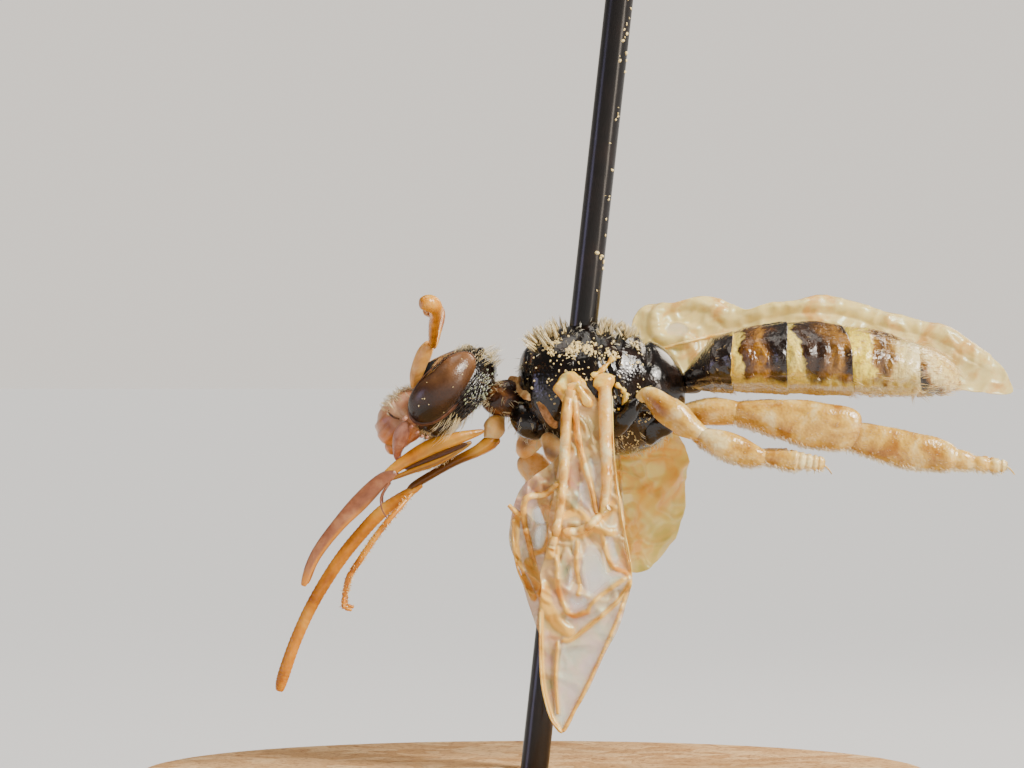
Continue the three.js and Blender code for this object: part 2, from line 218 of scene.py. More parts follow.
def outward(surface: Surface, around: Array, along: Array) -> tuple[Array, Array, Array]:
    """Points of a surface, which way it faces there and the area that each stands for.

    Args:
        surface: The surface.
        around: Places round it.
        along: Places along it.

    Returns:
        Points, unit normals and relative areas.
    """
    step = 2e-3
    along = np.clip(along, step * 1.5, 1 - step * 1.5)
    here = surface.at(around, along)
    du = surface.at(around + step, along) - surface.at(around - step, along)
    dv = surface.at(around, along + step) - surface.at(around, along - step)
    normal = np.cross(du, dv)
    area = np.linalg.norm(normal, axis=1)
    normal = unit(normal)
    ring = np.linspace(0, 1, 13)[:-1]  # a belt that tells the outside from the inside
    belt = np.full(12, 0.5)
    probe = surface.at(ring, belt)
    side = np.cross(surface.at(ring + step, belt) - probe, surface.at(ring, belt + step) - probe)
    if np.sum(side * (probe - probe.mean(0))) < 0:
        normal = -normal
    return here, normal, area


# ---- meshes


def take(name: str) -> Thing:
    """Names the primitive that an operator has just added, and its mesh."""
    made = bpy.context.active_object
    made.name = made.data.name = name
    return made


def deselect() -> None:
    """Leaves nothing selected."""
    bpy.ops.object.select_all(action="DESELECT")


def linked(name: str, data: bpy.types.ID) -> Thing:
    """A new object in the scene, round its data."""
    made = bpy.data.objects.new(name, data)
    bpy.context.scene.collection.objects.link(made)
    return made


def alone(made: Thing) -> None:
    """Selects one object and nothing else."""
    deselect()
    made.select_set(True)
    bpy.context.view_layer.objects.active = made


def settle(made: Thing) -> Thing:
    """Points a closed piece's faces outwards and shades it smooth.

    Args:
        made: The piece.

    Returns:
        The same piece.
    """
    alone(made)
    bpy.ops.object.mode_set(mode="EDIT")
    bpy.ops.mesh.select_all(action="SELECT")
    bpy.ops.mesh.normals_make_consistent(inside=False)
    bpy.ops.object.mode_set(mode="OBJECT")
    bpy.ops.object.shade_smooth()
    return made


def mark(made: Thing, name: str, values: Array) -> None:
    """Stores one number for each point of a mesh, for its finish to read."""
    made.data.attributes.new(name, "FLOAT", "POINT").data.foreach_set("value",
        np.asarray(values, np.float32))


def coordinates(made: Thing) -> Array:
    """A mesh's points as rows."""
    flat = np.empty(len(made.data.vertices) * 3)
    made.data.vertices.foreach_get("co", flat)
    return flat.reshape(-1, 3)


def place(made: Thing, points: Array) -> None:
    """Moves a mesh's points to places given in millimetres."""
    made.data.vertices.foreach_set("co", (points * MM).ravel())
    made.data.update()


def skin(name: str, surface: Surface, segments: int, rings: int, **marks: Rule) -> Thing:
    """A closed mesh over a surface: a grid wrapped round it and merged at its seam and ends.

    Args:
        name: The piece's name.
        surface: The surface.
        segments: Faces round it.
        rings: Faces along it.
        marks: Attributes for its finish, from places around and along it.

    Returns:
        The piece.
    """
    deselect()
    bpy.ops.mesh.primitive_grid_add(x_subdivisions=segments, y_subdivisions=rings, size=1)
    made = take(name)
    sheet = coordinates(made)
    around, along = (sheet[:, 0] + 0.5) % 1, np.clip(sheet[:, 1] + 0.5, 0, 1)
    made.data.vertices.foreach_set("co", surface.at(around, along).ravel())
    for key, values in marks.items():
        mark(made, key, values(around, along))
    bpy.ops.object.mode_set(mode="EDIT")
    bpy.ops.mesh.select_all(action="SELECT")
    bpy.ops.mesh.remove_doubles(threshold=1e-4)
    bpy.ops.object.mode_set(mode="OBJECT")
    place(made, coordinates(made))
    return settle(made)


def tube(name: str, centre: Array, radius: Array) -> Thing:
    """A round tube with closed ends: a bevelled curve made a mesh.

    Args:
        name: The piece's name.
        centre: Points along its middle.
        radius: Its radius at each.

    Returns:
        The piece.
    """
    curve = bpy.data.curves.new(name, "CURVE")
    curve.dimensions = "3D"
    curve.bevel_depth = MM
    curve.bevel_resolution = 1
    curve.use_fill_caps = True
    run = curve.splines.new("POLY")
    run.points.add(len(centre) - 1)
    run.points.foreach_set("co", np.column_stack([centre * MM, np.ones(len(centre))]).ravel())
    run.points.foreach_set("radius", np.asarray(radius, float))
    made = linked(name, curve)
    alone(made)
    bpy.ops.object.convert(target="MESH")
    return settle(take(name))


def laid(surface: Surface, route: Rows, steps: int, side: int = 0) -> Array:
    """Points of a surface along a route that is given by x and z.

    Args:
        surface: The surface.
        route: The places it runs through.
        steps: How many points to give.
        side: Which half of a closed surface to follow.

    Returns:
        The points.
    """
    u, v = (grid.ravel() for grid in np.meshgrid(np.linspace(0, 1, 61), np.linspace(0, 1, 161)))
    film = surface.at(u, v)
    film = film[(film[:, 1] - film[:, 1].mean()) * side >= 0]
    target = spline(np.array(route, float), np.linspace(0, 1, steps)) + THORAX[[0, 2]]
    far = ((film[None, :, [0, 2]] - target[:, None]) ** 2).sum(2)
    nearest = 6
    depth = film[np.argsort(far, axis=1)[:, :nearest], 1].mean(1)
    return np.column_stack([target[:, 0], depth, target[:, 1]])


def specks(name: str, places: Array, sizes: Array, finish: "Finish", slot: str,
        way: Array | None = None) -> None:
    """Small uneven grains: one is modelled and copied into one mesh.

    Args:
        name: The piece's name.
        places: Where they stick.
        sizes: Their radii.
        finish: Their finish.
        slot: Passed on to finished.
        way: Draws them out along a direction, to about twice their width.
    """
    deselect()
    bpy.ops.mesh.primitive_ico_sphere_add(subdivisions=2, radius=1)
    grain = take("grain")
    ball = coordinates(grain)
    faces = np.array([face.vertices[:] for face in grain.data.polygons])
    bpy.data.objects.remove(grain)
    count = len(places)
    draws = np.random.default_rng(count)
    shape = np.eye(3) * draws.uniform(0.6, 1.1, (count, 3, 1)) + draws.normal(0, 0.16, (count, 3, 3))
    if way is not None:
        shape = shape + np.outer(way, way)
    points = places[:, None] + (ball @ shape) * sizes[:, None, None]
    mesh = bpy.data.meshes.new(name)
    mesh.from_pydata(points.reshape(-1, 3) * MM, [], (faces[None] + len(ball)
        * np.arange(count)[:, None, None]).reshape(-1, 3))
    made = linked(name, mesh)
    mark(made, "shade", np.repeat(draws.uniform(0.35, 1, count), len(ball)))
    finished(settle(made), finish, slot)


def joined(name: str, parts: Sequence[Thing]) -> Thing:
    """Several meshes made one piece.

    Args:
        name: The piece's name.
        parts: The meshes.

    Returns:
        The piece.
    """
    alone(parts[0])
    for part in parts[1:]:
        part.select_set(True)
    if len(parts) > 1:
        bpy.ops.object.join()
    return take(name)


def finished(made: Thing, finish: "Finish", slot: str, *nodes: str) -> None:
    """Dresses a piece, hangs it under the root and hides the solids it replaces.

    Args:
        made: The piece.
        finish: Its finish.
        slot: Not used.
        nodes: The solids that it replaces.
    """
    made.data.materials.clear()
    made.data.materials.append(finish.material())
    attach(made, ROOT)
    if nodes:
        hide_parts(*nodes)
    LOG.info("%s: %d faces", made.name, len(made.data.polygons))


# ---- finishes


def linear(code: str, alpha: float = 1.0) -> tuple[float, float, float, float]:
    """An sRGB hex colour as linear numbers."""
    channels = [int(code[i:i + 2], 16) / 255 for i in (1, 3, 5)]
    light = [c / 12.92 if c <= 0.04045 else ((c + 0.055) / 1.055) ** 2.4 for c in channels]
    return (*light, alpha)


def add(tree: Tree, kind: str, inputs: dict, output: int | str = 0,
        stops: Stops = (), **settings: object) -> Socket:
    """Adds a node with its settings and links.

    Args:
        tree: The node tree.
        kind: The node's type, after ShaderNode.
        inputs: A value or a socket to link for each input, by name or number.
        output: Which output is given back.
        stops: A colour ramp's stops.
        settings: The node's properties.

    Returns:
        The output.
    """
    made = tree.nodes.new("ShaderNode" + kind)
    for key, value in settings.items():
        setattr(made, key, value)
    for key, value in inputs.items():
        if isinstance(value, Socket):
            tree.links.new(value, made.inputs[key])
        else:
            made.inputs[key].default_value = value
    if stops:
        row = made.color_ramp.elements
        for position, code in stops[1:-1]:
            row.new(position).color = linear(code)
        for end in (0, -1):
            row[end].position, row[end].color = stops[end][0], linear(stops[end][1])
    return made.outputs[output]


def mottle(tree: Tree, spot: Socket, size: float, *stops: tuple[float, str]) -> Socket:
    """Cloudy colours.

    Args:
        tree: The node tree.
        spot: The place in millimetres.
        size: How far the clouds are across.
        stops: Their colours, about 0.5.

    Returns:
        The colour.
    """
    noise = add(tree, "TexNoise", {"Vector": spot, "Scale": 1 / size, "Detail": 4, "Roughness": 0.6,
        "Distortion": 0.4})
    return add(tree, "ValToRGB", {"Fac": noise}, "Color", stops)


OVER = {"output": 2, "data_type": "RGBA"}  # a mix of colours
TIMES = {**OVER, "blend_type": "MULTIPLY"}


@dataclass(frozen=True)
class Finish:
    """What all finishes share."""

    name: str = "finish"
    rough: float = 0.4
    ior: float = 1.5
    depth: float = 0.01  # how far its bumps rise
    glow: float = 0.0  # how much light passes under its surface
    reach: float = 0.15  # how far that light goes
    coat: float = 0.0  # the strength of a clear layer over it

    def colour(self, tree: Tree, spot: Socket) -> Socket:
        """Its colour.

        Args:
            tree: The node tree.
            spot: The place in millimetres.

        Returns:
            The output with the colour.
        """
        raise NotImplementedError

    def height(self, tree: Tree, spot: Socket) -> Socket | None:
        """Its bumps, from the same arguments, or None."""
        return None

    def extra(self, tree: Tree, shader: bpy.types.Node, spot: Socket) -> None:
        """Anything more to set on the shader."""

    def material(self) -> bpy.types.Material:
        """The material, made once and shared after that."""
        known = bpy.data.materials.get(self.name)
        if known:
            return known
        made = bpy.data.materials.new(self.name)
        made.use_nodes = True
        tree = made.node_tree
        shader = tree.nodes["Principled BSDF"]
        spot = add(tree, "VectorMath", {0: add(tree, "TexCoord", {}, "Object"), "Scale": 1 / MM},
            operation="SCALE")
        tree.links.new(self.colour(tree, spot), shader.inputs["Base Color"])
        for socket, value in {"Roughness": self.rough, "IOR": self.ior, "Subsurface Weight": self.glow,
                "Subsurface Radius": (1, 0.72, 0.45), "Subsurface Scale": self.reach * MM,
                "Coat Weight": self.coat, "Coat Roughness": 0.12}.items():
            shader.inputs[socket].default_value = value
        height = self.height(tree, spot)
        if height is not None:
            tree.links.new(add(tree, "Bump", {"Distance": self.depth * MM, "Height": height}),
                shader.inputs["Normal"])
        self.extra(tree, shader, spot)
        return made


@dataclass(frozen=True)
class Chitin(Finish):
    """Insect cuticle: a hard glossy shell of chitin, mottled, with fine pits."""

    dark: str = "#060403"
    mid: str = "#0e0907"  # its common colour
    pale: str = "#24150c"  # its lightest patches
    stain: str = "#4a2712"  # its colour where the piece is marked dim
    patch: float = 0.35  # its patches' size
    pit: float = 0.05  # its pits' spacing

    def colour(self, tree: Tree, spot: Socket) -> Socket:
        """Cloudy patches between three colours, stained where the piece is marked."""
        clouds = mottle(tree, spot, self.patch, (0.32, self.dark), (0.5, self.mid), (0.7, self.pale))
        marked = add(tree, "Attribute", {}, "Fac", attribute_name="dim")
        return add(tree, "Mix", {0: marked, 6: clouds, 7: linear(self.stain)}, **OVER)

    def height(self, tree: Tree, spot: Socket) -> Socket:
        """Pits over a slow wave, gone where the piece is polished.

        Args:
            tree: The node tree.
            spot: The place.

        Returns:
            The bumps.
        """
        pits = add(tree, "TexVoronoi", {"Vector": spot, "Scale": 1 / self.pit})
        slow = add(tree, "TexNoise", {"Vector": spot, "Scale": 0.3 / self.pit})
        both = add(tree, "Math", {0: pits, 1: 0.8, 2: slow}, operation="MULTIPLY_ADD")
        polish = add(tree, "Attribute", {}, "Fac", attribute_name="polish")
        dull = add(tree, "Math", {0: 1, 1: polish}, operation="SUBTRACT")
        return add(tree, "Math", {0: both, 1: dull}, operation="MULTIPLY")


@dataclass(frozen=True)
class Compound(Finish):
    """A compound eye: clear brown lenses packed in rows, with painted shade that makes it dark below and
    warm above.
    """

    facet: float = 0.035  # a lens's width, coarser than the real 0.02 mm so that it shows

    def colour(self, tree: Tree, spot: Socket) -> Socket:
        """Warm grey-brown above, nearly black below, with clouds: the browns are the eye's own, and the
        darkening towards the bottom is painted shade.

        Args:
            tree: The node tree.
            spot: The place.

        Returns:
            The colour.
        """
        # painted shade: the colour runs by height, from warm brown on top to near black at the bottom
        level = add(tree, "MapRange", {"Value": add(tree, "SeparateXYZ", {"Vector": spot}, "Z"),
            "From Min": THORAX[2] - 0.75, "From Max": THORAX[2] + 0.6, "To Min": -0.22, "To Max": 0.75})
        cloud = add(tree, "TexNoise", {"Vector": spot, "Scale": 4, "Detail": 3})
        shade = add(tree, "Math", {0: cloud, 1: 0.5, 2: level}, operation="MULTIPLY_ADD")
        return add(tree, "ValToRGB", {"Fac": shade}, "Color", [(0.1, "#080402"), (0.3, "#1a0d06"),
            (0.5, "#3a2213"), (0.75, "#583a22"), (1, "#7a5436")])

    def height(self, tree: Tree, spot: Socket) -> Socket:
        """The domes of the lenses."""
        dome = add(tree, "TexVoronoi", {"Vector": spot, "Scale": 1 / self.facet})
        return add(tree, "Math", {0: 1, 1: dome}, operation="SUBTRACT")


class Band(Enum):
    """The run of colours along one ring of the abdomen, from front to rear."""

    WAIST = ((0, "#0b0603"), (0.6, "#241305"), (0.84, "#1a0c04"), (0.9, "#ecc850"), (1, "#f4d45c"))
    FRONT = ((0, "#f2d048"), (0.27, "#fce068"), (0.32, "#4c2c06"), (0.44, "#6e440a"), (0.58, "#b07a1c"),
        (0.66, "#50300a"), (0.76, "#1e1005"), (1, "#120903"))
    MIDDLE = ((0, "#f4d248"), (0.32, "#fee46c"), (0.38, "#3e2408"), (0.52, "#2a1606"), (0.66, "#684410"),
        (0.8, "#9a6c20"), (0.9, "#301a06"), (1, "#180c04"))
    # REAR: its pale cream from 0.68 to 0.92 is a painted highlight, a glare across the ring
    REAR = ((0, "#fad83c"), (0.32, "#ffe658"), (0.41, "#8e621a"), (0.5, "#4c2e0a"), (0.58, "#9a7024"),
        (0.68, "#e8d080"), (0.92, "#f2e6b4"), (1, "#2a1806"))
    # TIP: its pale end from 0.46 on is partly the tip's own cream and partly a painted highlight
    TIP = ((0, "#120903"), (0.36, "#1e1006"), (0.46, "#8e621e"), (0.58, "#f4e2a4"), (1, "#f4d478"))


@dataclass(frozen=True)
class Tergite(Finish):
    """A ring plate of the abdomen: thin glossy cuticle in yellow and brown, creased as it dried."""

    band: Band = Band.MIDDLE

    def colour(self, tree: Tree, spot: Socket) -> Socket:
        """Bands that waver, over a pale belly, with small brown stains; the pale stretches at the rear of
        the last two rings are partly painted highlight.

        Args:
            tree: The node tree.
            spot: The place.

        Returns:
            The colour.
        """
        cloud = add(tree, "TexNoise", {"Vector": spot, "Scale": 7, "Detail": 4})
        along = add(tree, "Attribute", {}, "Fac", attribute_name="stripe")
        waver = add(tree, "Math", {0: cloud, 1: 0.24, 2: along}, operation="MULTIPLY_ADD")
        band = add(tree, "ValToRGB", {"Fac": add(tree, "Math", {0: waver, 1: 0.12}, operation="SUBTRACT")},
            "Color", self.band.value)
        low = add(tree, "Attribute", {}, "Fac", attribute_name="belly")
        whole = add(tree, "Mix", {0: low, 6: band, 7: linear("#d0b44c")}, **OVER)
        stain = mottle(tree, spot, 0.06, (0.44, "#ffffff"), (0.72, "#9a7038"))
        return add(tree, "Mix", {0: 0.5, 6: whole, 7: stain}, **TIMES)

    def height(self, tree: Tree, spot: Socket) -> Socket:
        """Creases that run round the ring, and a fine grain.

        Args:
            tree: The node tree.
            spot: The place.

        Returns:
            The bumps.
        """
        squeezed = add(tree, "Mapping", {"Vector": spot, "Scale": (1, 0.3, 0.3)})
        creases = add(tree, "TexNoise", {"Vector": squeezed, "Scale": 9, "Detail": 3, "Distortion": 0.9})
        grain = add(tree, "TexVoronoi", {"Vector": spot, "Scale": 25})
        return add(tree, "Math", {0: grain, 1: 0.3, 2: creases}, operation="MULTIPLY_ADD")


@dataclass(frozen=True)
class Strand(Finish):
    """Bee hair: fine keratin-like chitin bristles, pale and half clear."""

    root: str = "#b9a27a"  # the colour at the skin
    tip: str = "#efe3c6"  # the colour at the end

    def colour(self, tree: Tree, spot: Socket) -> Socket:
        """Paler towards the tip, and a little different from strand to strand.

        Args:
            tree: The node tree.
            spot: The place.

        Returns:
            The colour.
        """
        strand, shade = (add(tree, "Attribute", {}, "Fac", attribute_name=name)
            for name in ("strand", "shade"))
        colour = add(tree, "Mix", {0: strand, 6: linear(self.root), 7: linear(self.tip)}, **OVER)
        tint = add(tree, "ValToRGB", {"Fac": shade}, "Color", [(0, "#d4c4a0"), (0.6, "#ffffff")])
        return add(tree, "Mix", {0: 0.6, 6: colour, 7: tint}, **TIMES)


@dataclass(frozen=True)
class Film(Finish):
    """Wing membrane: two layers of clear chitin film, creamy where it is creased double."""

    clear: float = 0.45  # how much shows through where it is thin
    tint: str = "#dcb882"  # its colour where it is thick
    window: str = "#e6dcc4"  # its colour where it is thin
    painted_iridescence: float = 0.2  # how strong the painted play of colour is: a thin film's sheen painted into the colour
    blots: Stops = ((0.34, "#e0923c"), (0.47, "#ffffff"), (0.62, "#fff8e4"))  # its stains' colours
    stained: float = 0.6  # how strong they are
    cloud: float = 0.55

    def colour(self, tree: Tree, spot: Socket) -> Socket:
        """Cream with gold stains, and a faint play of green, pink and violet that is a painted sheen.

        Args:
            tree: The node tree.
            spot: The place.

        Returns:
            The colour.
        """
        thick = add(tree, "Attribute", {}, "Fac", attribute_name="thick")
        cream = add(tree, "Mix", {0: thick, 6: linear(self.window), 7: linear(self.tint)}, **OVER)
        stain = mottle(tree, spot, self.cloud, *self.blots)
        cream = add(tree, "Mix", {0: self.stained, 6: cream, 7: stain}, **TIMES)
        # painted sheen: a thin film's play of colours painted into the base colour, strongest where the film
        # is thin
        play = mottle(tree, spot, 0.5, (0.3, "#c8b0ea"), (0.4, "#a8dcb8"), (0.5, "#ecdcb8"),
            (0.63, "#f8bcd0"), (0.7, "#f6e2b0"))
        thin = add(tree, "MapRange", {"Value": thick, "From Min": 0.2, "From Max": 0.7,
            "To Min": self.painted_iridescence, "To Max": 0})
        return add(tree, "Mix", {0: thin, 6: cream, 7: play}, **OVER)

    def height(self, tree: Tree, spot: Socket) -> Socket:
        """Fine crumples."""
        facets = add(tree, "TexVoronoi", {"Vector": spot, "Scale": 4.5})
        fine = add(tree, "TexNoise", {"Vector": spot, "Scale": 12, "Detail": 3})
        return add(tree, "Math", {0: fine, 1: 0.5, 2: facets}, operation="MULTIPLY_ADD")

    def extra(self, tree: Tree, shader: bpy.types.Node, spot: Socket) -> None:
        """Lets the ground behind show where the film is thin, and gives it a thin film's sheen.

        Args:
            tree: The node tree.
            shader: The shader.
            spot: The place.
        """
        thick = add(tree, "Attribute", {}, "Fac", attribute_name="thick")
        cloud = add(tree, "TexNoise", {"Vector": spot, "Scale": 2.8, "Detail": 3})
        both = add(tree, "Math", {0: cloud, 1: 0.3, 2: thick}, operation="MULTIPLY_ADD")
        solid = add(tree, "MapRange", {"Value": both, "From Min": 0.1, "From Max": 1,
            "To Min": 1 - self.clear, "To Max": 1})
        tree.links.new(solid, shader.inputs["Alpha"])
        shader.inputs["Thin Film Thickness"].default_value = 380  # nanometres
        shader.inputs["Thin Film IOR"].default_value = 1.4


@dataclass(frozen=True)
class Enamel(Finish):
    """Black enamel baked on spring steel: deep, smooth and mirror-like, with faint drawing lines."""

    def colour(self, tree: Tree, spot: Socket) -> Socket:
        """Near black, with a warm cast where it has worn thin."""
        return mottle(tree, spot, 0.7, (0.35, "#070404"), (0.55, "#0f0908"), (0.75, "#1f1410"))

    def height(self, tree: Tree, spot: Socket) -> Socket:
        """Lines along the wire."""
        drawn = add(tree, "Mapping", {"Vector": spot, "Scale": (1, 1, 0.06)})
        return add(tree, "TexNoise", {"Vector": drawn, "Scale": 16})


@dataclass(frozen=True)
class Nylon(Finish):
    """A pin's nylon knob: moulded amber plastic, smooth and slightly clear."""

    def colour(self, tree: Tree, spot: Socket) -> Socket:
        """One amber, clouded a little."""
        return mottle(tree, spot, 0.5, (0.3, "#a8722a"), (0.7, "#c98f3e"))

    def height(self, tree: Tree, spot: Socket) -> Socket:
        """The faint orange peel of moulding."""
        return add(tree, "TexNoise", {"Vector": spot, "Scale": 7})


@dataclass(frozen=True)
class Cork(Finish):
    """Fine pressed cork: tan grains with dark pores and flecks, dry and matt."""

    granule: float = 0.5  # the grains' size in millimetres

    def colour(self, tree: Tree, spot: Socket) -> Socket:
        """Each granule its own tan, with small dark flecks of bark.

        Args:
            tree: The node tree.
            spot: The place.

        Returns:
            The colour.
        """
        patch = add(tree, "TexVoronoi", {"Vector": spot, "Scale": 1 / self.granule}, "Color")
        each = add(tree, "ValToRGB", {"Fac": add(tree, "SeparateColor", {"Color": patch})}, "Color",
            [(0, "#b98a52"), (0.5, "#cda26c"), (1, "#deb985")])
        fleck = mottle(tree, spot, 0.11, (0.34, "#8a5e34"), (0.46, "#ffffff"))
        return add(tree, "Mix", {0: 0.75, 6: each, 7: fleck}, **TIMES)

    def height(self, tree: Tree, spot: Socket) -> Socket:
        """Grains with soft edges and open pores."""
        edge = add(tree, "TexVoronoi", {"Vector": spot, "Scale": 1 / self.granule})
        pores = add(tree, "TexNoise", {"Vector": spot, "Scale": 8, "Detail": 4})
        return add(tree, "Math", {0: edge, 1: -0.5, 2: pores}, operation="MULTIPLY_ADD")


@dataclass(frozen=True)
class Paint(Finish):
    """A studio floor painted matt in one even tone."""

    tone: str = "#cfd1d5"

    def colour(self, tree: Tree, spot: Socket) -> Socket:
        """One tone."""
        return mottle(tree, spot, 300, (0, self.tone), (1, self.tone))

    def extra(self, tree: Tree, shader: bpy.types.Node, spot: Socket) -> None:
        """Takes the last gloss off the paint."""
        shader.inputs["Specular IOR Level"].default_value = 0


BLACK_SHELL = Chitin("black_cuticle", rough=0.16, ior=1.5, depth=0.006, coat=0.3)
BROWN_SHELL = Chitin("brown_cuticle", rough=0.24, depth=0.008, glow=0.1, dark="#1c0d06", mid="#4c2a14",
    pale="#a46c3a", patch=0.22)
NECK_SHELL = Chitin("tan_cuticle", rough=0.3, depth=0.008, glow=0.3, reach=0.08, dark="#8a5626",
    mid="#cc9456", pale="#ecc48a", patch=0.2)
FACE_SHELL = Chitin("rose_face_cuticle", rough=0.3, depth=0.004, glow=0.6, reach=0.15, dark="#96583a",
    mid="#c2845c", pale="#e2b48c", patch=0.4, stain="#d47c1c")
JAW_SHELL = Chitin("rose_red_jaw", rough=0.3, depth=0.004, glow=0.4, reach=0.1, dark="#7e4430",
    mid="#b07860", pale="#d4a488", patch=0.3, stain="#a4440c")
AMBER_SHELL = Chitin("amber_mouthpart", rough=0.26, depth=0.004, glow=0.4, reach=0.1, dark="#96500a",
    mid="#cc8418", pale="#e4ac44", patch=0.7, stain="#3e1e0c")
GALEA_SHELL = Chitin("rose_brown_mouthpart", rough=0.32, depth=0.005, glow=0.4, reach=0.08, dark="#5e3624",
    mid="#905a3e", pale="#b48058", patch=0.5, stain="#d08a2c")
# painted light: a paler copy of the cream cuticle for parts in shade, the tongue's bulb under the head and
# the fore legs under the thorax
PAINTED_LIGHT_CREAM_SHELL = Chitin("cream_with_painted_light", rough=0.3, depth=0.004, glow=0.6, reach=0.12, dark="#e8a850",
    mid="#ffcc80", pale="#ffe8bc", patch=0.3)
CREAM_SHELL = Chitin("cream_leg_cuticle", rough=0.24, depth=0.008, glow=0.2, reach=0.08, coat=0.45,
    dark="#a66c1c", mid="#e0b24e", pale="#fcecb0", patch=0.45, stain="#8a4c1a")
ROOT_SHELL = Chitin("cream_joint_cuticle", rough=0.22, depth=0.006, glow=0.5, reach=0.1, coat=0.4,
    dark="#d4902c", mid="#f2c050", pale="#ffe890", patch=0.35, stain="#8a5a24")
# the scape's gold is its own, made paler and brighter as painted light, since it faces away from the lamps
SCAPE_SHELL = Chitin("golden_scape", rough=0.3, depth=0.004, glow=0.3, reach=0.08, dark="#bc7a2c",
    mid="#eeac58", pale="#fcd08c", patch=0.4)
EYE_LENS = Compound("eye_lens", rough=0.27, ior=1.45, depth=0.003, coat=0.15)
EYE_RIM = Chitin("eye_rim", rough=0.3, depth=0.004, glow=0.1, dark="#2a140b", mid="#523020", pale="#7a4e38",
    patch=0.15)
PALE_HAIR = Strand("pale_hair", rough=0.36, glow=0.2, reach=0.04, root="#d8bc7c", tip="#fff6d4")
SILVER_HAIR = Strand("silver_hair", rough=0.3, root="#d8d0b0", tip="#fffcf0")
GOLD_HAIR = Strand("gold_hair", rough=0.3, root="#c8983e", tip="#fff0c0")
GLINT = Strand("cheek_glint", rough=0.22, ior=1.6, root="#8c9478")
DUST = Strand("pale_dust", rough=0.4, root="#f0d898", tip="#fff8e8")
CREASED_FILM = Film("creased_wing_film", rough=0.22, ior=1.5, depth=0.012, clear=0.9, glow=0.3, coat=0.2,
    painted_iridescence=0.5, window="#e8c888", tint="#f6b85a")
# partly painted light: the far forewing's film is paler cream than the near wing's, to make up for the shade
# it lies in
SMOOTH_FILM = Film("smooth_wing_film", rough=0.3, ior=1.5, depth=0.004, clear=0.9, glow=0.5, coat=0.3,
    painted_iridescence=0.05, window="#ffe2a8", tint="#ffd88c")
# partly painted light: the hanging hindwing's film has paler, brighter colours to make up for the shade it
# hangs in
BLOTTED_FILM = Film("blotted_wing_film", rough=0.3, ior=1.5, depth=0.006, clear=0.1, glow=0.6, coat=0.2,
    painted_iridescence=0.05, window="#ffe4a8", tint="#ffdc94", stained=0.9, cloud=1.7,
    blots=((0.38, "#b8c898"), (0.47, "#fff0cc"), (0.54, "#ffb860"), (0.6, "#fff0cc"), (0.68, "#ffbcac")))
VEIN = Chitin("wing_vein", rough=0.26, depth=0.003, glow=0.5, reach=0.08, coat=0.2, dark="#c8862c",
    mid="#f4c264", pale="#fff0b8", patch=0.4, stain="#7a5020")


# ---- hair


@dataclass
class Patch:
    """Where hair grows on one surface, and how it lies."""

    surface: Surface
    tufts: int
    length: float  # their length
    lie: Sequence[float]  # the way they point
    lift: float = 0.3  # 0 lies along the skin and 1 stands out from it
    here: Rule | None = None  # how thickly they grow, from points and normals
    width: float = 0.016  # a strand's thickness at its root
    stray: float = 0.2  # how much each tuft goes its own way
    strands: int = 6
    spread: float = 0.025  # how far its roots lie apart
    gather: float = 0.7  # how far its tips come together


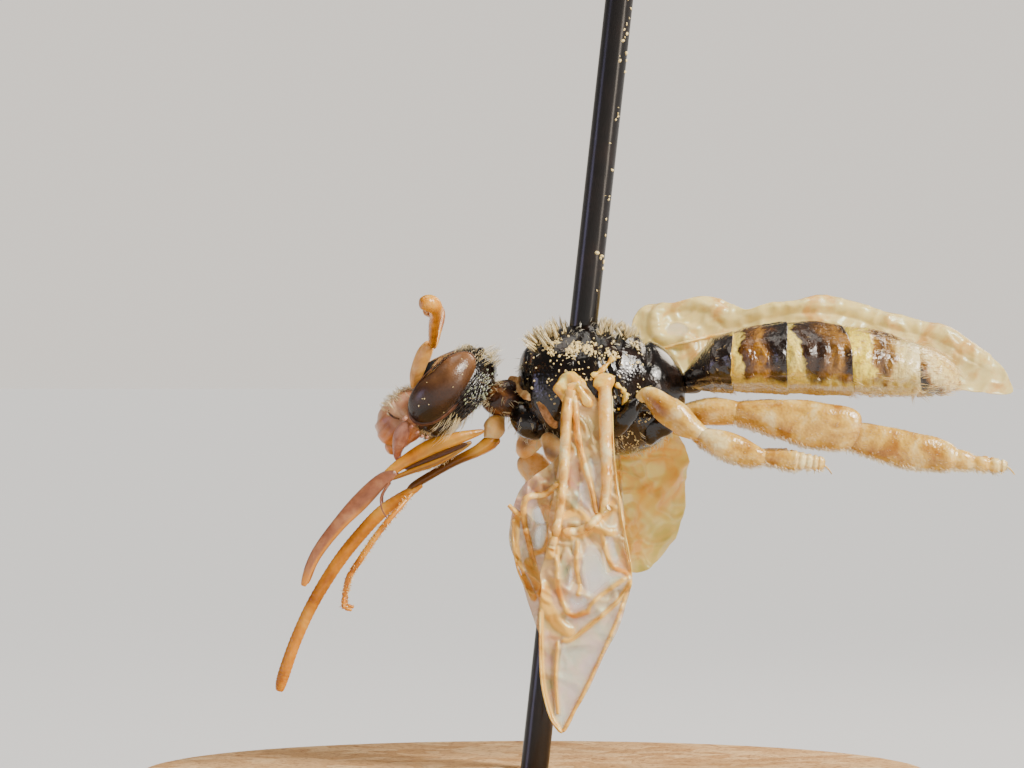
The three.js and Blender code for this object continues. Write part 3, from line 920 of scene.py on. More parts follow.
@dataclass
class Coat:
    """Hair as solid tapered strands in tufts, in one mesh."""

    name: str
    finish: Strand
    patches: Sequence[Patch]  # where it grows
    slot: str = "shell"
    seed: int = 1
    draws: np.random.Generator = field(init=False)

    def __post_init__(self) -> None:
        """Starts the random draws."""
        self.draws = np.random.default_rng(self.seed)

    def roots(self, patch: Patch) -> tuple[Array, Array, Array, Array]:
        """Random places on a skin, as thick as the patch says.

        Args:
            patch: The patch.

        Returns:
            Points, normals, and where each is around and along the skin.
        """
        kept: list[tuple[Array, ...]] = []
        found, rounds, batch = 0, 40, 6000
        for _ in range(rounds):
            around, along = self.draws.random(batch), self.draws.random(batch)
            points, normals, area = outward(patch.surface, around, along)
            chance = area / np.percentile(area, 98)
            if patch.here is not None:
                chance = chance * patch.here(points - THORAX, normals)
            keep = self.draws.random(batch) < chance
            kept.append((points[keep], normals[keep], around[keep], along[keep]))
            found += int(keep.sum())
            if found >= patch.tufts:
                break
        stacked = [np.concatenate(rows)[:patch.tufts] for rows in zip(*kept)]
        return stacked[0], stacked[1], stacked[2], stacked[3]

    def strands(self, patch: Patch, number: int) -> tuple[Array, Array, Array]:
        """The strands of one patch.

        Args:
            patch: The patch.
            number: Its place in the coat.

        Returns:
            Seven points of each strand, its place on the map and its shade.
        """
        draws = self.draws
        root, normal, around, along = self.roots(patch)
        count = len(root)
        lie = np.array(patch.lie, float)
        flat = unit(lie - normal * (normal @ lie)[:, None])
        way = unit(flat * (1 - patch.lift) + normal * patch.lift + draws.normal(0, patch.stray, (count, 3)))
        length = patch.length * draws.uniform(0.65, 1.25, count)
        shade = draws.random(count)
        each = np.repeat(np.arange(count), patch.strands)
        total = len(each)
        root, normal, flat, way = root[each], normal[each], flat[each], way[each]
        aside = np.cross(normal, flat)
        a, b = draws.normal(0, patch.spread, (2, total, 1))
        start = root + flat * a + aside * b
        reach = (length[each] * draws.uniform(0.75, 1.1, total))[:, None]
        tip = (root + (flat * a + aside * b) * (1 - patch.gather) + way * reach
            + draws.normal(0, 0.06, (total, 3)) * reach)
        arch = normal * reach * draws.uniform(0, 0.12, total)[:, None]
        middle = start + (tip - start) * 0.5 + arch
        line = unit(tip - start)
        side = unit(np.cross(line, normal + 1e-3))
        other = np.cross(line, side)
        width = patch.width * draws.uniform(0.7, 1.2, total)[:, None]
        rows = []
        for centre, thick in ((start - normal * 0.02, 1), (middle, 0.75)):
            for k in range(3):
                angle = TURN * k / 3
                rows.append(centre + (side * math.cos(angle) + other * math.sin(angle)) * width * thick
                    * 0.5)
        rows.append(tip)
        spot = np.stack([(number + 0.05 + 0.9 * around[each]) / len(self.patches),
            0.02 + 0.95 * along[each]], 1)
        return np.stack(rows, 1), spot, 0.7 * shade[each] + 0.3 * draws.random(total)

    def grow(self) -> Thing:
        """Makes the mesh: each strand is a three-sided spike with one bend."""
        grown = [self.strands(patch, number) for number, patch in enumerate(self.patches)]
        points, spots, shades = (np.concatenate(rows) for rows in zip(*grown))
        spike = np.array([(0, 1, 4), (0, 4, 3), (1, 2, 5), (1, 5, 4), (2, 0, 3), (2, 3, 5), (3, 4, 6),
            (4, 5, 6), (5, 3, 6), (0, 2, 1)])
        each = points.shape[1]
        faces = (spike[None] + each * np.arange(len(points))[:, None, None]).reshape(-1, 3)
        mesh = bpy.data.meshes.new(self.name)
        mesh.from_pydata(points.reshape(-1, 3) * MM, [], faces)
        made = linked(self.name, mesh)
        corner = np.array([(0, 0), (1, 0), (0.5, 0.3), (0, 0.6), (1, 0.6), (0.5, 0.8), (0.5, 1)])
        uv = spots[:, None, :] + 0.003 * (corner[None] - 0.5)
        layer = mesh.uv_layers.new(name="OFBake")
        layer.data.foreach_set("uv", uv.reshape(-1, 2)[faces.ravel()].ravel())
        mark(made, "strand", np.tile([0, 0, 0, 0.5, 0.5, 0.5, 1], len(points)))
        mark(made, "shade", np.repeat(shades, each))
        finished(made, self.finish, self.slot)
        return made


# ---- stand and pin


@dataclass
class Mount:
    """The cork base and the specimen's own pin."""

    bevel: float = 0.35  # the base's rounded edge
    ring: float = 0.9  # the radius of the dimple round the pin
    dip: float = 0.12  # its depth
    knob: float = 0.6  # the radius of the pin's knob

    def on_pin(self, height: float) -> Array:
        """The middle of the pin at a height over the base's top."""
        return np.array([height * math.tan(PIN_LEAN), 0, BASE_HIGH[2] + height])

    def build(self) -> None:
        """Makes the base, the pin, its knob and the grains of dust on it."""
        self.base()
        self.pin()

    def base(self) -> None:
        """A round of cork, bevelled and pressed in a little where the pin enters."""
        radius = BASE_HIGH[0] * MM
        depth = (BASE_HIGH[2] - BASE_LOW[2]) * MM
        deselect()
        bpy.ops.mesh.primitive_cylinder_add(vertices=128, radius=radius, depth=depth,
            location=(0, 0, BASE_LOW[2] * MM + depth / 2))
        made = take("cork_base")
        bpy.ops.object.transform_apply(location=True, rotation=False, scale=False)
        bpy.ops.object.mode_set(mode="EDIT")
        bpy.ops.mesh.select_all(action="SELECT")
        bpy.ops.mesh.bevel(offset=self.bevel * MM, segments=4, affect="EDGES")
        bpy.ops.mesh.select_all(action="DESELECT")
        bpy.ops.object.mode_set(mode="OBJECT")
        for face in made.data.polygons:
            face.select = bool(face.center.z > (BASE_HIGH[2] - 1e-3) * MM and abs(face.normal.z) > 0.99)
        bpy.ops.object.mode_set(mode="EDIT")
        bpy.ops.mesh.inset(thickness=radius - self.ring * MM)
        bpy.ops.mesh.inset(thickness=0.5 * MM)
        bpy.ops.transform.translate(value=(0, 0, -self.dip * MM))
        bpy.ops.object.mode_set(mode="OBJECT")
        bpy.ops.object.shade_smooth_by_angle(angle=math.radians(35))
        finished(made, Cork("pressed_cork", rough=0.9, depth=0.05), "cork", "stand_base")

    def pin(self) -> None:
        """The leaning wire, its knob, and specks of dust down its side."""
        low, high = (np.array(corner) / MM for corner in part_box("insect_pin"))
        top = high[2] - BASE_HIGH[2]
        foot, head = self.on_pin(low[2] - BASE_HIGH[2] + 0.02), self.on_pin(top)
        centre, length = (foot + head) / 2, np.linalg.norm(head - foot)
        deselect()
        bpy.ops.mesh.primitive_cylinder_add(vertices=48, radius=PIN_RADIUS * MM, depth=length * MM,
            location=centre * MM, rotation=(0, PIN_LEAN, 0))
        made = take("steel_pin")
        bpy.ops.object.transform_apply(location=True, rotation=True, scale=False)
        bpy.ops.object.shade_smooth_by_angle(angle=math.radians(40))
        finished(made, Enamel("black_enamel", rough=0.26, ior=1.45, depth=0.003, coat=0.15), "pin_enamel",
            "insect_pin")
        low, high = (np.array(corner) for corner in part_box("insect_pin_head"))
        middle = (low + high) / 2
        deselect()
        bpy.ops.mesh.primitive_uv_sphere_add(segments=48, ring_count=28, radius=self.knob * MM,
            location=middle, scale=(1, 1, 0.85), rotation=(0, PIN_LEAN, 0))
        made = take("pin_knob")
        bpy.ops.object.transform_apply(location=True, rotation=True, scale=True)
        bpy.ops.object.shade_smooth()
        finished(made, Nylon("amber_nylon", rough=0.2, depth=0.01, glow=0.3, coat=0.4), "pin_knob",
            "insect_pin_head")
        self.dust(top)

    def dust(self, top: float) -> None:
        """Specks of pale dust stuck down the pin's side.

        Args:
            top: The pin's height over the base.
        """
        draws, count = np.random.default_rng(41), 34
        heights = draws.uniform(THORAX_ABOVE_BASE + 1.3, top - 0.2, count)
        angles = np.radians(draws.normal(-38, 16, count))
        places = [self.on_pin(height) + PIN_RADIUS * np.array([math.cos(angle), math.sin(angle), 0])
            for height, angle in zip(heights, angles)]
        specks("pin_dust", np.array(places), draws.uniform(0.012, 0.036, count), DUST, "pin_enamel")


# ---- head


EYE = np.array([-2.27, 0, 0.03])  # the middle between the eyes, from the thorax centre
DOWN_FACE = np.array([-math.cos(HEAD_TILT), 0, -math.sin(HEAD_TILT)])
FORWARD = np.array([-math.sin(HEAD_TILT), 0, math.cos(HEAD_TILT)])


def on_head(down: float, side: float, forward: float) -> Array:
    """A point so far down the face, to the bee's right and out of it from the eyes' middle."""
    return EYE + DOWN_FACE * down + FORWARD * forward + np.array([0, side, 0])


@dataclass
class HeadShell:
    """The head's skin: broad, thick behind the eyes, keeled between the feelers."""

    front: float = 0.58  # how far it reaches forward
    rear: float = 0.51  # how far it reaches back
    side: float = 1.1  # half its width
    up: float = 0.85  # half its height along the face
    ridges: int = 60  # how many lines its cheeks would have if they went all round

    def at(self, around: Array, along: Array) -> Array:
        """Its points, in the part's frame.

        Args:
            around: Places round it.
            along: Places along it.

        Returns:
            The points.
        """
        up = np.cos(math.pi * along)
        ring = np.maximum(np.sin(math.pi * along), 0) ** 0.88
        angle = TURN * around
        out, side = ring * np.cos(angle), ring * np.sin(angle)
        side = side * np.where(up < 0, 1 + 0.24 * up, 1)
        cheek = ease(-out, 0.1, 0.5) * ease(np.abs(side), 0.25, 0.6)
        beads = 1 + 0.7 * np.sin(46 * up + 2.5 * np.sin(11 * angle)) * ease(up, -0.5, 0.2)
        ridge = 0.022 * np.sin(self.ridges * angle + 3 * up) * beads * cheek * ease(-up, -0.85, -0.5)
        keel = 0.09 * bell(side, 0, 0.14) * bell(up, -0.05, 0.4) * (out > 0)
        socket = -0.08 * bell(np.abs(side), 0.26, 0.1) * bell(up, -0.12, 0.14) * (out > 0)
        nape = 0.16 * bell(side, 0, 0.4) * bell(up, -0.15, 0.5) * (out < 0)
        crown = 0.05 * bell(np.abs(side), 0.5, 0.25) * bell(up, 0.85, 0.25)
        forward = out * np.where(out > 0, self.front, self.rear) * (1 + ridge) + keel + socket + nape
        centre = on_head(-0.05, 0, -0.2)
        return (THORAX + centre + FORWARD * forward[:, None] + np.array(LEVEL)
            * (side * self.side * (1 + ridge))[:, None] - DOWN_FACE * (up * self.up + crown)[:, None])


@dataclass
class EyeBall:
    """A compound eye that bends with the side of the head."""

    side: int
    length: float = 0.7  # half its length
    depth: float = 0.342  # half its width
    bulge: float = 0.3  # how far it stands out

    def at(self, around: Array, along: Array) -> Array:
        """Its points, in the part's frame.

        Args:
            around: Places round it.
            along: Places along it.

        Returns:
            The points.
        """
        up = np.cos(math.pi * along)
        ring = np.maximum(np.sin(math.pi * along), 0) ** 0.85
        out, side = ring * np.cos(TURN * around), ring * np.sin(TURN * around)
        bend = 0.95 - 0.17 * up**2
        depth = self.depth * (1 - 0.13 * up) - 0.05 * bell(up, 0.15, 0.35) * (out > 0)
        return (THORAX + EYE + FORWARD * (out * depth)[:, None] + np.array(LEVEL)
            * (self.side * (bend + side * self.bulge))[:, None] - DOWN_FACE
            * (0.03 + up * self.length)[:, None])


@dataclass
class Head:
    """The head: shell, eyes with their rims, simple eyes, face, jaws and feelers."""

    shell: HeadShell = field(default_factory=HeadShell)

    def build(self) -> None:
        """Makes every piece of the head."""
        made = skin("head_capsule", self.shell, 720, 120)
        finished(made, BLACK_SHELL, "shell", "head")
        for side, name in SIDES:
            ball = EyeBall(side)
            finished(skin(f"compound_eye_{name}", ball, 64, 48), EYE_LENS, "eye", f"eye_{name}")
            draws, count = np.random.default_rng(7 + side), 11
            places = ball.at(0.25 + 0.17 * draws.uniform(-1, 1, count), draws.uniform(0.22, 0.75, count))
            specks(f"eye_dust_{name}", places, draws.uniform(0.008, 0.016, count), DUST, "eye")
            self.rim(side, name)
            self.jaw(side, name)
            self.feeler(side, name)
        self.ocelli()
        self.face()
        self.silver()

    def silver(self) -> None:
        """Rows of small drawn-out glints on the upper cheeks' ridges."""
        draws = np.random.default_rng(17)
        row, step = (grid.ravel() for grid in np.meshgrid(np.arange(self.shell.ridges),
            np.linspace(0.14, 0.54, 12)))
        along = step + draws.uniform(-0.014, 0.014, len(step))
        angle = (math.pi / 2 - 3 * np.cos(math.pi * along) + TURN * row) / self.shell.ridges
        aside = np.abs(angle % TURN - math.pi)
        chance = ease(aside, 0.25, 0.45) * ease(-aside, -1.42, -1.25) * bell(along, 0.36, 0.12)
        keep = draws.random(len(along)) < 0.9 * chance
        places = self.shell.at(angle[keep] / TURN, along[keep])
        specks("cheek_beads", places, draws.uniform(0.011, 0.018, len(places)), GLINT, "shell", DOWN_FACE)

    def rim(self, side: int, name: str) -> None:
        """The raised edge of shell round an eye, widest behind it.

        Args:
            side: -1 or 1.
            name: The side's name.
        """
        deselect()
        bpy.ops.mesh.primitive_torus_add(major_segments=96, minor_segments=12, major_radius=1,
            minor_radius=0.25)
        made = take(f"eye_rim_{name}")
        ring = coordinates(made)
        turn = np.arctan2(ring[:, 1], ring[:, 0])
        up, out = 0.7 * np.cos(turn), 0.332 * np.sin(turn) * (1 - 0.13 * np.cos(turn))
        offset = np.hypot(ring[:, 0], ring[:, 1]) - 1
        broad = 0.035 + 0.16 * ease(-np.sin(turn) - 0.9 * np.cos(turn), 0.2, 1.2)
        radial = unit(FORWARD * np.sin(turn)[:, None] - DOWN_FACE * np.cos(turn)[:, None] * 0.6)
        base = 0.965 - 0.17 * (up / 0.7) ** 2
        place(made, THORAX + EYE + FORWARD * out[:, None] - DOWN_FACE * (0.03 + up)[:, None] + radial
            * (offset * broad)[:, None] + np.array(LEVEL) * (side * (base + ring[:, 2] * 0.26))[:, None])
        finished(settle(made), EYE_RIM, "eye")

    def ocelli(self) -> None:
        """Three simple eyes in a triangle on the crown."""
        beads = []
        for down, side, forward in ((-0.74, 0, 0.16), (-0.84, 0.22, 0), (-0.84, -0.22, 0)):
            bead = Loft([(*on_head(down, side, forward - 0.08), 0.07, 0.07),
                (*on_head(down - 0.06, side, forward - 0.02), 0.07, 0.07)])
            beads.append(skin("bead", bead, 20, 14))
        finished(joined("ocelli", beads), BLACK_SHELL, "eye")

    @property
    def plate(self) -> Loft:
        """The form of the domed face plate, with its sunken seam, its folds and its dimples."""
        def crease(points: Array, t: Array) -> Array:
            """How far each point stands off the plain dome."""
            seam = -0.04 * bell(t + 0.12 * np.cos(3 * points[:, 1]), 0.42, 0.02)
            folds = 0.016 * np.sin(46 * (points @ FORWARD)) * ease(t, 0.5, 0.7)
            return seam + folds + 0.006 * Waves(0.3, 3).at(points)

        return Loft([(*on_head(0.22, 0, 0.08), 0.36, 0.24), (*on_head(0.52, 0, 0.12), 0.5, 0.37),
            (*on_head(0.85, 0, 0.13), 0.54, 0.38), (*on_head(1.1, 0, 0.1), 0.5, 0.34),
            (*on_head(1.29, 0, 0.07), 0.42, 0.22)], LEVEL, 0.5, 2.2, crease)

    def face(self) -> None:
        """The pale domed clypeus and the labrum under it, with dark seams and jaw joints."""
        lip = Loft([(*on_head(1.15, 0, -0.02), 0.3, 0.16), (*on_head(1.25, 0, -0.06), 0.28, 0.14),
            (*on_head(1.34, 0, -0.12), 0.2, 0.08)], LEVEL, 0.45, 2.2)
        plate = skin("plate", self.plate, 84, 72,
            dim=lambda u, v: 0.85 * ease(THORAX[2] - self.plate.at(u, v)[:, 2], 0.55, 0.85))
        edge = skin("lip", lip, 40, 28, dim=lambda u, v: 0.8 + 0 * v)
        finished(joined("face_plate", [plate, edge]), FACE_SHELL, "face", "clypeus")
        seams, knobs = [], []
        for side in (-1, 1):
            for x, y, z, size in ((-2.85, 0.93, -0.45, 0.048), (-2.745, 0.9, -0.58, 0.036),
                    (-2.655, 0.86, -0.68, 0.034), (-2.58, 0.82, -0.74, 0.03), (-2.5, 0.8, -0.75, 0.028)):
                knobs.append(skin("knob", Loft([(x - size / 2, side * y, z + size / 2, size, size),
                    (x + size / 2, side * y, z - size / 2, size, size)]), 20, 16))
            seam = laid(self.plate, ((-3.13, -0.33), (-3.1, -0.39), (-3.03, -0.44), (-2.95, -0.465)), 20,
                side)
            seams.append(tube("seam", seam, 0.005 + 0.013 * np.sin(np.linspace(0.3, 2.6, 20))))
        finished(joined("jaw_joints", knobs), JAW_SHELL, "jaw")
        finished(joined("face_seams", seams), BROWN_SHELL, "face")

    def jaw(self, side: int, name: str) -> None:
        """One mandible: a broad flat root that tapers to a curved red tip.

        Args:
            side: -1 or 1.
            name: The side's name.
        """
        blade = Loft(mirrored([(-2.85, 0.78, -0.5, 0.08, 0.08), (-2.88, 0.76, -0.62, 0.12, 0.09),
            (-2.92, 0.7, -0.74, 0.13, 0.09), (-2.96, 0.6, -0.87, 0.1, 0.08),
            (-2.99, 0.46, -0.98, 0.07, 0.07), (-2.99, 0.3, -1.08, 0.055, 0.05),
            (-2.95, 0.14, -1.16, 0.035, 0.035)], side), (1, 0, 0), 0.45, 2.3)
        finished(skin(f"jaw_{name}", blade, 32, 40, dim=lambda u, v: 0.9 * ease(v, 0.5, 0.75)),
            JAW_SHELL, "jaw", f"mandible_{name}")

    def feeler(self, side: int, name: str) -> None:
        """The scape, the pedicel and the ten beads of the flagellum.

        Args:
            side: -1 or 1.
            name: The side's name.
        """
        scape = Loft([(*on_head(0.3, side * 0.22, 0.34), 0.09, 0.08),
            (*on_head(0.1, side * 0.33, 0.46), 0.135, 0.11), (*on_head(-0.2, side * 0.47, 0.58), 0.14,
            0.12), (*on_head(-0.42, side * 0.58, 0.63), 0.11, 0.1)], LEVEL, 0.4)
        finished(skin(f"feeler_base_{name}", scape, 24, 24), SCAPE_SHELL, "amber", f"antenna_scape_{name}")
        reach = 1 if side < 0 else 1.1
        droop = 0 if side < 0 else 0.05
        whip = Loft([(-2.42, side * (0.5 + 0.1 * reach), 0.7, 0.09, 0.085),
            (-2.39, side * (0.55 + 0.45 * reach), 0.98 - droop, 0.1, 0.095),
            (-2.35, side * (0.6 + 0.8 * reach), 1.22 - droop, 0.11, 0.105),
            (-2.39, side * (0.62 + reach), 1.34 - droop, 0.14, 0.135),
            (-2.48, side * (0.62 + 1.08 * reach), 1.37 - droop, 0.155, 0.15),
            (-2.6, side * (0.62 + 1.12 * reach), 1.36 - droop, 0.13, 0.125)], LEVEL, 0.33, 2,
            lambda p, t: -0.004 * np.abs(np.cos(math.pi * 10 * t)) ** 10)
        finished(skin(f"feeler_whip_{name}", whip, 28, 120, polish=lambda u, v: np.full(len(v), 0.85)),
            AMBER_SHELL, "amber", f"antenna_flagellum_{name}")

    def coats(self) -> list[Coat]:
        """The head's hair: silver lines on the cheeks, a standing crown and a fringe behind."""
        def out(p: Array) -> Array:
            """How far out of the face each point is."""
            return (p - EYE) @ FORWARD

        def up(p: Array) -> Array:
            """How far up the face each point is."""
            return (EYE - p) @ DOWN_FACE

        shell, down = self.shell, (-0.55, 0, -0.8)
        return [Coat("coat_cheeks", SILVER_HAIR, [
            Patch(shell, 60, 0.06, DOWN_FACE, 0.08, lambda p, n: (np.abs(p[:, 1]) > 0.45)
                * (out(p) < -0.2) * ease(up(p), -0.35, 0.1), 0.006, 0.05, 1, 0, 0)], seed=11),
            Coat("coat_mouth", GOLD_HAIR, [
            Patch(shell, 240, 0.05, down, 0.6, lambda p, n: ease(-up(p), 0.6, 0.7), 0.013, 0.4, 3, 0.02,
                0.5)], seed=13),
            Coat("coat_head", PALE_HAIR, [  # the brow, the crown, the nape, the chin and the face plate
            Patch(shell, 90, 0.08, -DOWN_FACE, 0.6, lambda p, n: bell(up(p), 0.72, 0.12) * (out(p) > -0.15),
                0.009, 0.3, 3, 0.02, 0.5),
            Patch(shell, 22, 0.26, -DOWN_FACE + (0.15, 0, 0), 0.6, lambda p, n: bell(up(p), 0.82, 0.1)
                * bell(out(p), -0.25, 0.16) * ease(np.abs(p[:, 1]), 0.1, 0.3), 0.009, 0.1, 4, 0.03, 0.8),
            Patch(shell, 50, 0.12, (0.5, 0, 1), 0.35, lambda p, n: ease(-(n @ FORWARD), 0.93, 0.98), 0.006,
                0.15, 2, 0.03, 0.3),
            Patch(shell, 50, 0.32, down, 0.25, lambda p, n: bell(up(p), -0.3, 0.25)
                * ease(-(n @ FORWARD), 0.7, 0.85), 0.009, 0.04, 4, 0.035, 0),
            Patch(self.plate, 110, 0.12, FORWARD, 0.55, lambda p, n: ease(out(p), 0.25, 0.42)
                * ease(up(p), -0.95, -0.7), 0.01, 0.25, 3, 0.02, 0.7)], seed=12)]


# ---- mouthparts


@dataclass
class Tongue:
    """The folded-out proboscis: its bulbs, plates and lower bar, the glossa, blades and palps."""

    def build(self) -> None:
        """Makes every strand."""
        self.root()
        self.glossa()
        for side, name in SIDES:
            self.blade(side, name)
            finished(skin(f"tongue_palp_{name}", self.palp(side), 18, 130), AMBER_SHELL, "amber",
                f"labial_palp_{name}")

    def root(self) -> None:
        """What lies folded under the head: a bulb, two plates and a hairy bar between."""
        bulb = Loft([(-1.3, 0, -0.4, 0.12, 0.1), (-1.4, 0, -0.54, 0.22, 0.16), (-1.46, 0, -0.68, 0.22, 0.16),
            (-1.56, 0, -0.8, 0.16, 0.1)], relief=lambda p, t: 0.012 * Waves(0.4, 8).at(p))
        # the bulb, in the head's shade, takes the paler cream with painted light
        finished(skin("tongue_bulb", bulb, 40, 32), PAINTED_LIGHT_CREAM_SHELL, "cream")
        low = Loft([(-1.34, 0, -0.8, 0.12, 0.1), (-1.48, 0, -0.84, 0.2, 0.14), (-1.7, 0, -0.98, 0.16, 0.1),
            (-2.04, 0, -1.14, 0.12, 0.075), (-2.38, 0, -1.33, 0.11, 0.07), (-2.72, 0, -1.54, 0.1, 0.075),
            (-2.82, 0, -1.67, 0.1, 0.09)])
        pieces = [(low, lambda u, v: 0.85 * ease(v, 0.35, 0.5) * ease(-v, -0.9, -0.75))]
        for side in (-1, 1):
            for rows, broad, dim in ((((-1.6, 0.16, -0.66, 0.07, 0.06), (-2.1, 0.3, -0.8, 0.12, 0.06),
                    (-2.5, 0.36, -0.95, 0.135, 0.06), (-2.88, 0.4, -1.16, 0.11, 0.06),
                    (-3.2, 0.42, -1.38, 0.1, 0.06)), (-0.45, 0, 0.9), 0),
                    (((-1.86, 0.4, -0.86, 0.04, 0.035), (-2.28, 0.44, -1.03, 0.05, 0.04),
                    (-2.86, 0.46, -1.27, 0.035, 0.03)), UP, 0.95), (((-1.8, 0.36, -0.84, 0.06, 0.05),
                    (-2.3, 0.42, -1.13, 0.06, 0.05), (-2.75, 0.44, -1.3, 0.045, 0.045),
                    (-3.1, 0.44, -1.44, 0.04, 0.04)), UP, 0.5)):
                pieces.append((Loft(mirrored(rows, side), broad, 0.5, 2.2), lambda u, v, dim=dim:
                    dim + 0.25 * ease(np.sin(3 * TURN * u + 1.5 * v), 0.5, 0.9)))
        finished(joined("tongue_root", [skin("root", form, 40, 44, dim=dim) for form, dim in pieces]),
            AMBER_SHELL, "amber", "proboscis_base")

    def glossa(self) -> None:
        """The long tongue itself, finely ringed, a little swollen at its end."""
        form = Loft([(-2.6, 0, -1.52, 0.11, 0.09), (-3.19, 0, -1.92, 0.12, 0.115),
            (-3.6, 0, -2.34, 0.11, 0.11), (-3.97, 0, -2.81, 0.105, 0.105), (-4.35, 0, -3.43, 0.1, 0.1),
            (-4.63, 0, -4.03, 0.1, 0.1), (-4.83, 0, -4.6, 0.12, 0.11), (-4.9, 0, -4.86, 0.11, 0.1)], LEVEL,
            0.3, 2, lambda p, t: 0.003 * np.sin(TURN * 52 * t))
        finished(skin("tongue_glossa", form, 28, 260), AMBER_SHELL, "amber", "glossa")

    def blade(self, side: int, name: str) -> None:
        """One galea: a long thin blade, and the thin palp that hangs from its root.

        Args:
            side: -1 or 1.
            name: The side's name.
        """
        form = Loft(mirrored([(-3, 0.42, -1.32, 0.1, 0.07), (-3.26, 0.46, -1.47, 0.13, 0.07),
            (-3.6, 0.5, -1.81, 0.14, 0.06), (-3.92, 0.52, -2.15, 0.11, 0.06),
            (-4.2, 0.53, -2.5, 0.095, 0.055), (-4.37, 0.53, -2.79, 0.085, 0.05),
            (-4.49, 0.53, -3.14, 0.08, 0.05)], side), (-0.6, 0, 0.7), 0.35, 2.6)
        t = np.linspace(0, 1, 24)
        path = spline(np.array(mirrored([(-3.12, 0.5, -1.5), (-3.24, 0.56, -1.7), (-3.23, 0.58, -1.9),
            (-3.14, 0.58, -2.06)], side)), t)
        blade = skin("blade", form, 32, 90, dim=lambda u, v: np.maximum(0.9 * ease(v, 0.72, 0.9),
            0.8 * ease(-np.cos(TURN * u), 0.2, 0.7) * ease(v, 0.3, 0.5)))
        made = joined(f"tongue_blade_{name}", [blade, tube("palp", THORAX + path, 0.02 - 0.01 * t)])
        finished(made, GALEA_SHELL, "amber", f"galea_{name}")

    def palp(self, side: int) -> Loft:
        """The form of one labial palp: waists between its segments, and hooked at its end.

        Args:
            side: -1 or 1.

        Returns:
            Its form.
        """
        return Loft(mirrored([(-2.75, 0.2, -1.66, 0.05, 0.05), (-3.05, 0.42, -2, 0.05, 0.05),
            (-3.31, 0.5, -2.32, 0.055, 0.05), (-3.63, 0.52, -2.79, 0.055, 0.05),
            (-3.77, 0.52, -3.02, 0.045, 0.045), (-3.84, 0.52, -3.34, 0.04, 0.04),
            (-3.83, 0.52, -3.48, 0.045, 0.04), (-3.71, 0.52, -3.53, 0.04, 0.035)], side), LEVEL, 0.35, 2,
            lambda p, t: -0.018 * (bell(t, 0.5, 0.01) + bell(t, 0.7, 0.01) + bell(t, 0.88, 0.01)))

    def coats(self) -> list[Coat]:
        """Short bristles along the palps and the hairy bar."""
        patches = []
        for side in (-1, 1):
            bar = Loft(mirrored([(-1.95, 0.3, -0.86, 0.07, 0.05), (-2.28, 0.34, -1.12, 0.055, 0.05),
                (-2.73, 0.38, -1.29, 0.045, 0.045)], side), UP, 0.5)
            patches += [Patch(self.palp(side), 200, 0.04, (0.6, 0, -0.6), 0.8, None, 0.02, 0.2, 1, 0, 0),
                Patch(bar, 190, 0.07, (-1, 0, -0.6), 0.4, None, 0.01, 0.3, 2, 0.01, 0.2)]
        return [Coat("coat_tongue", GOLD_HAIR, patches, "amber", 15)]


# ---- thorax


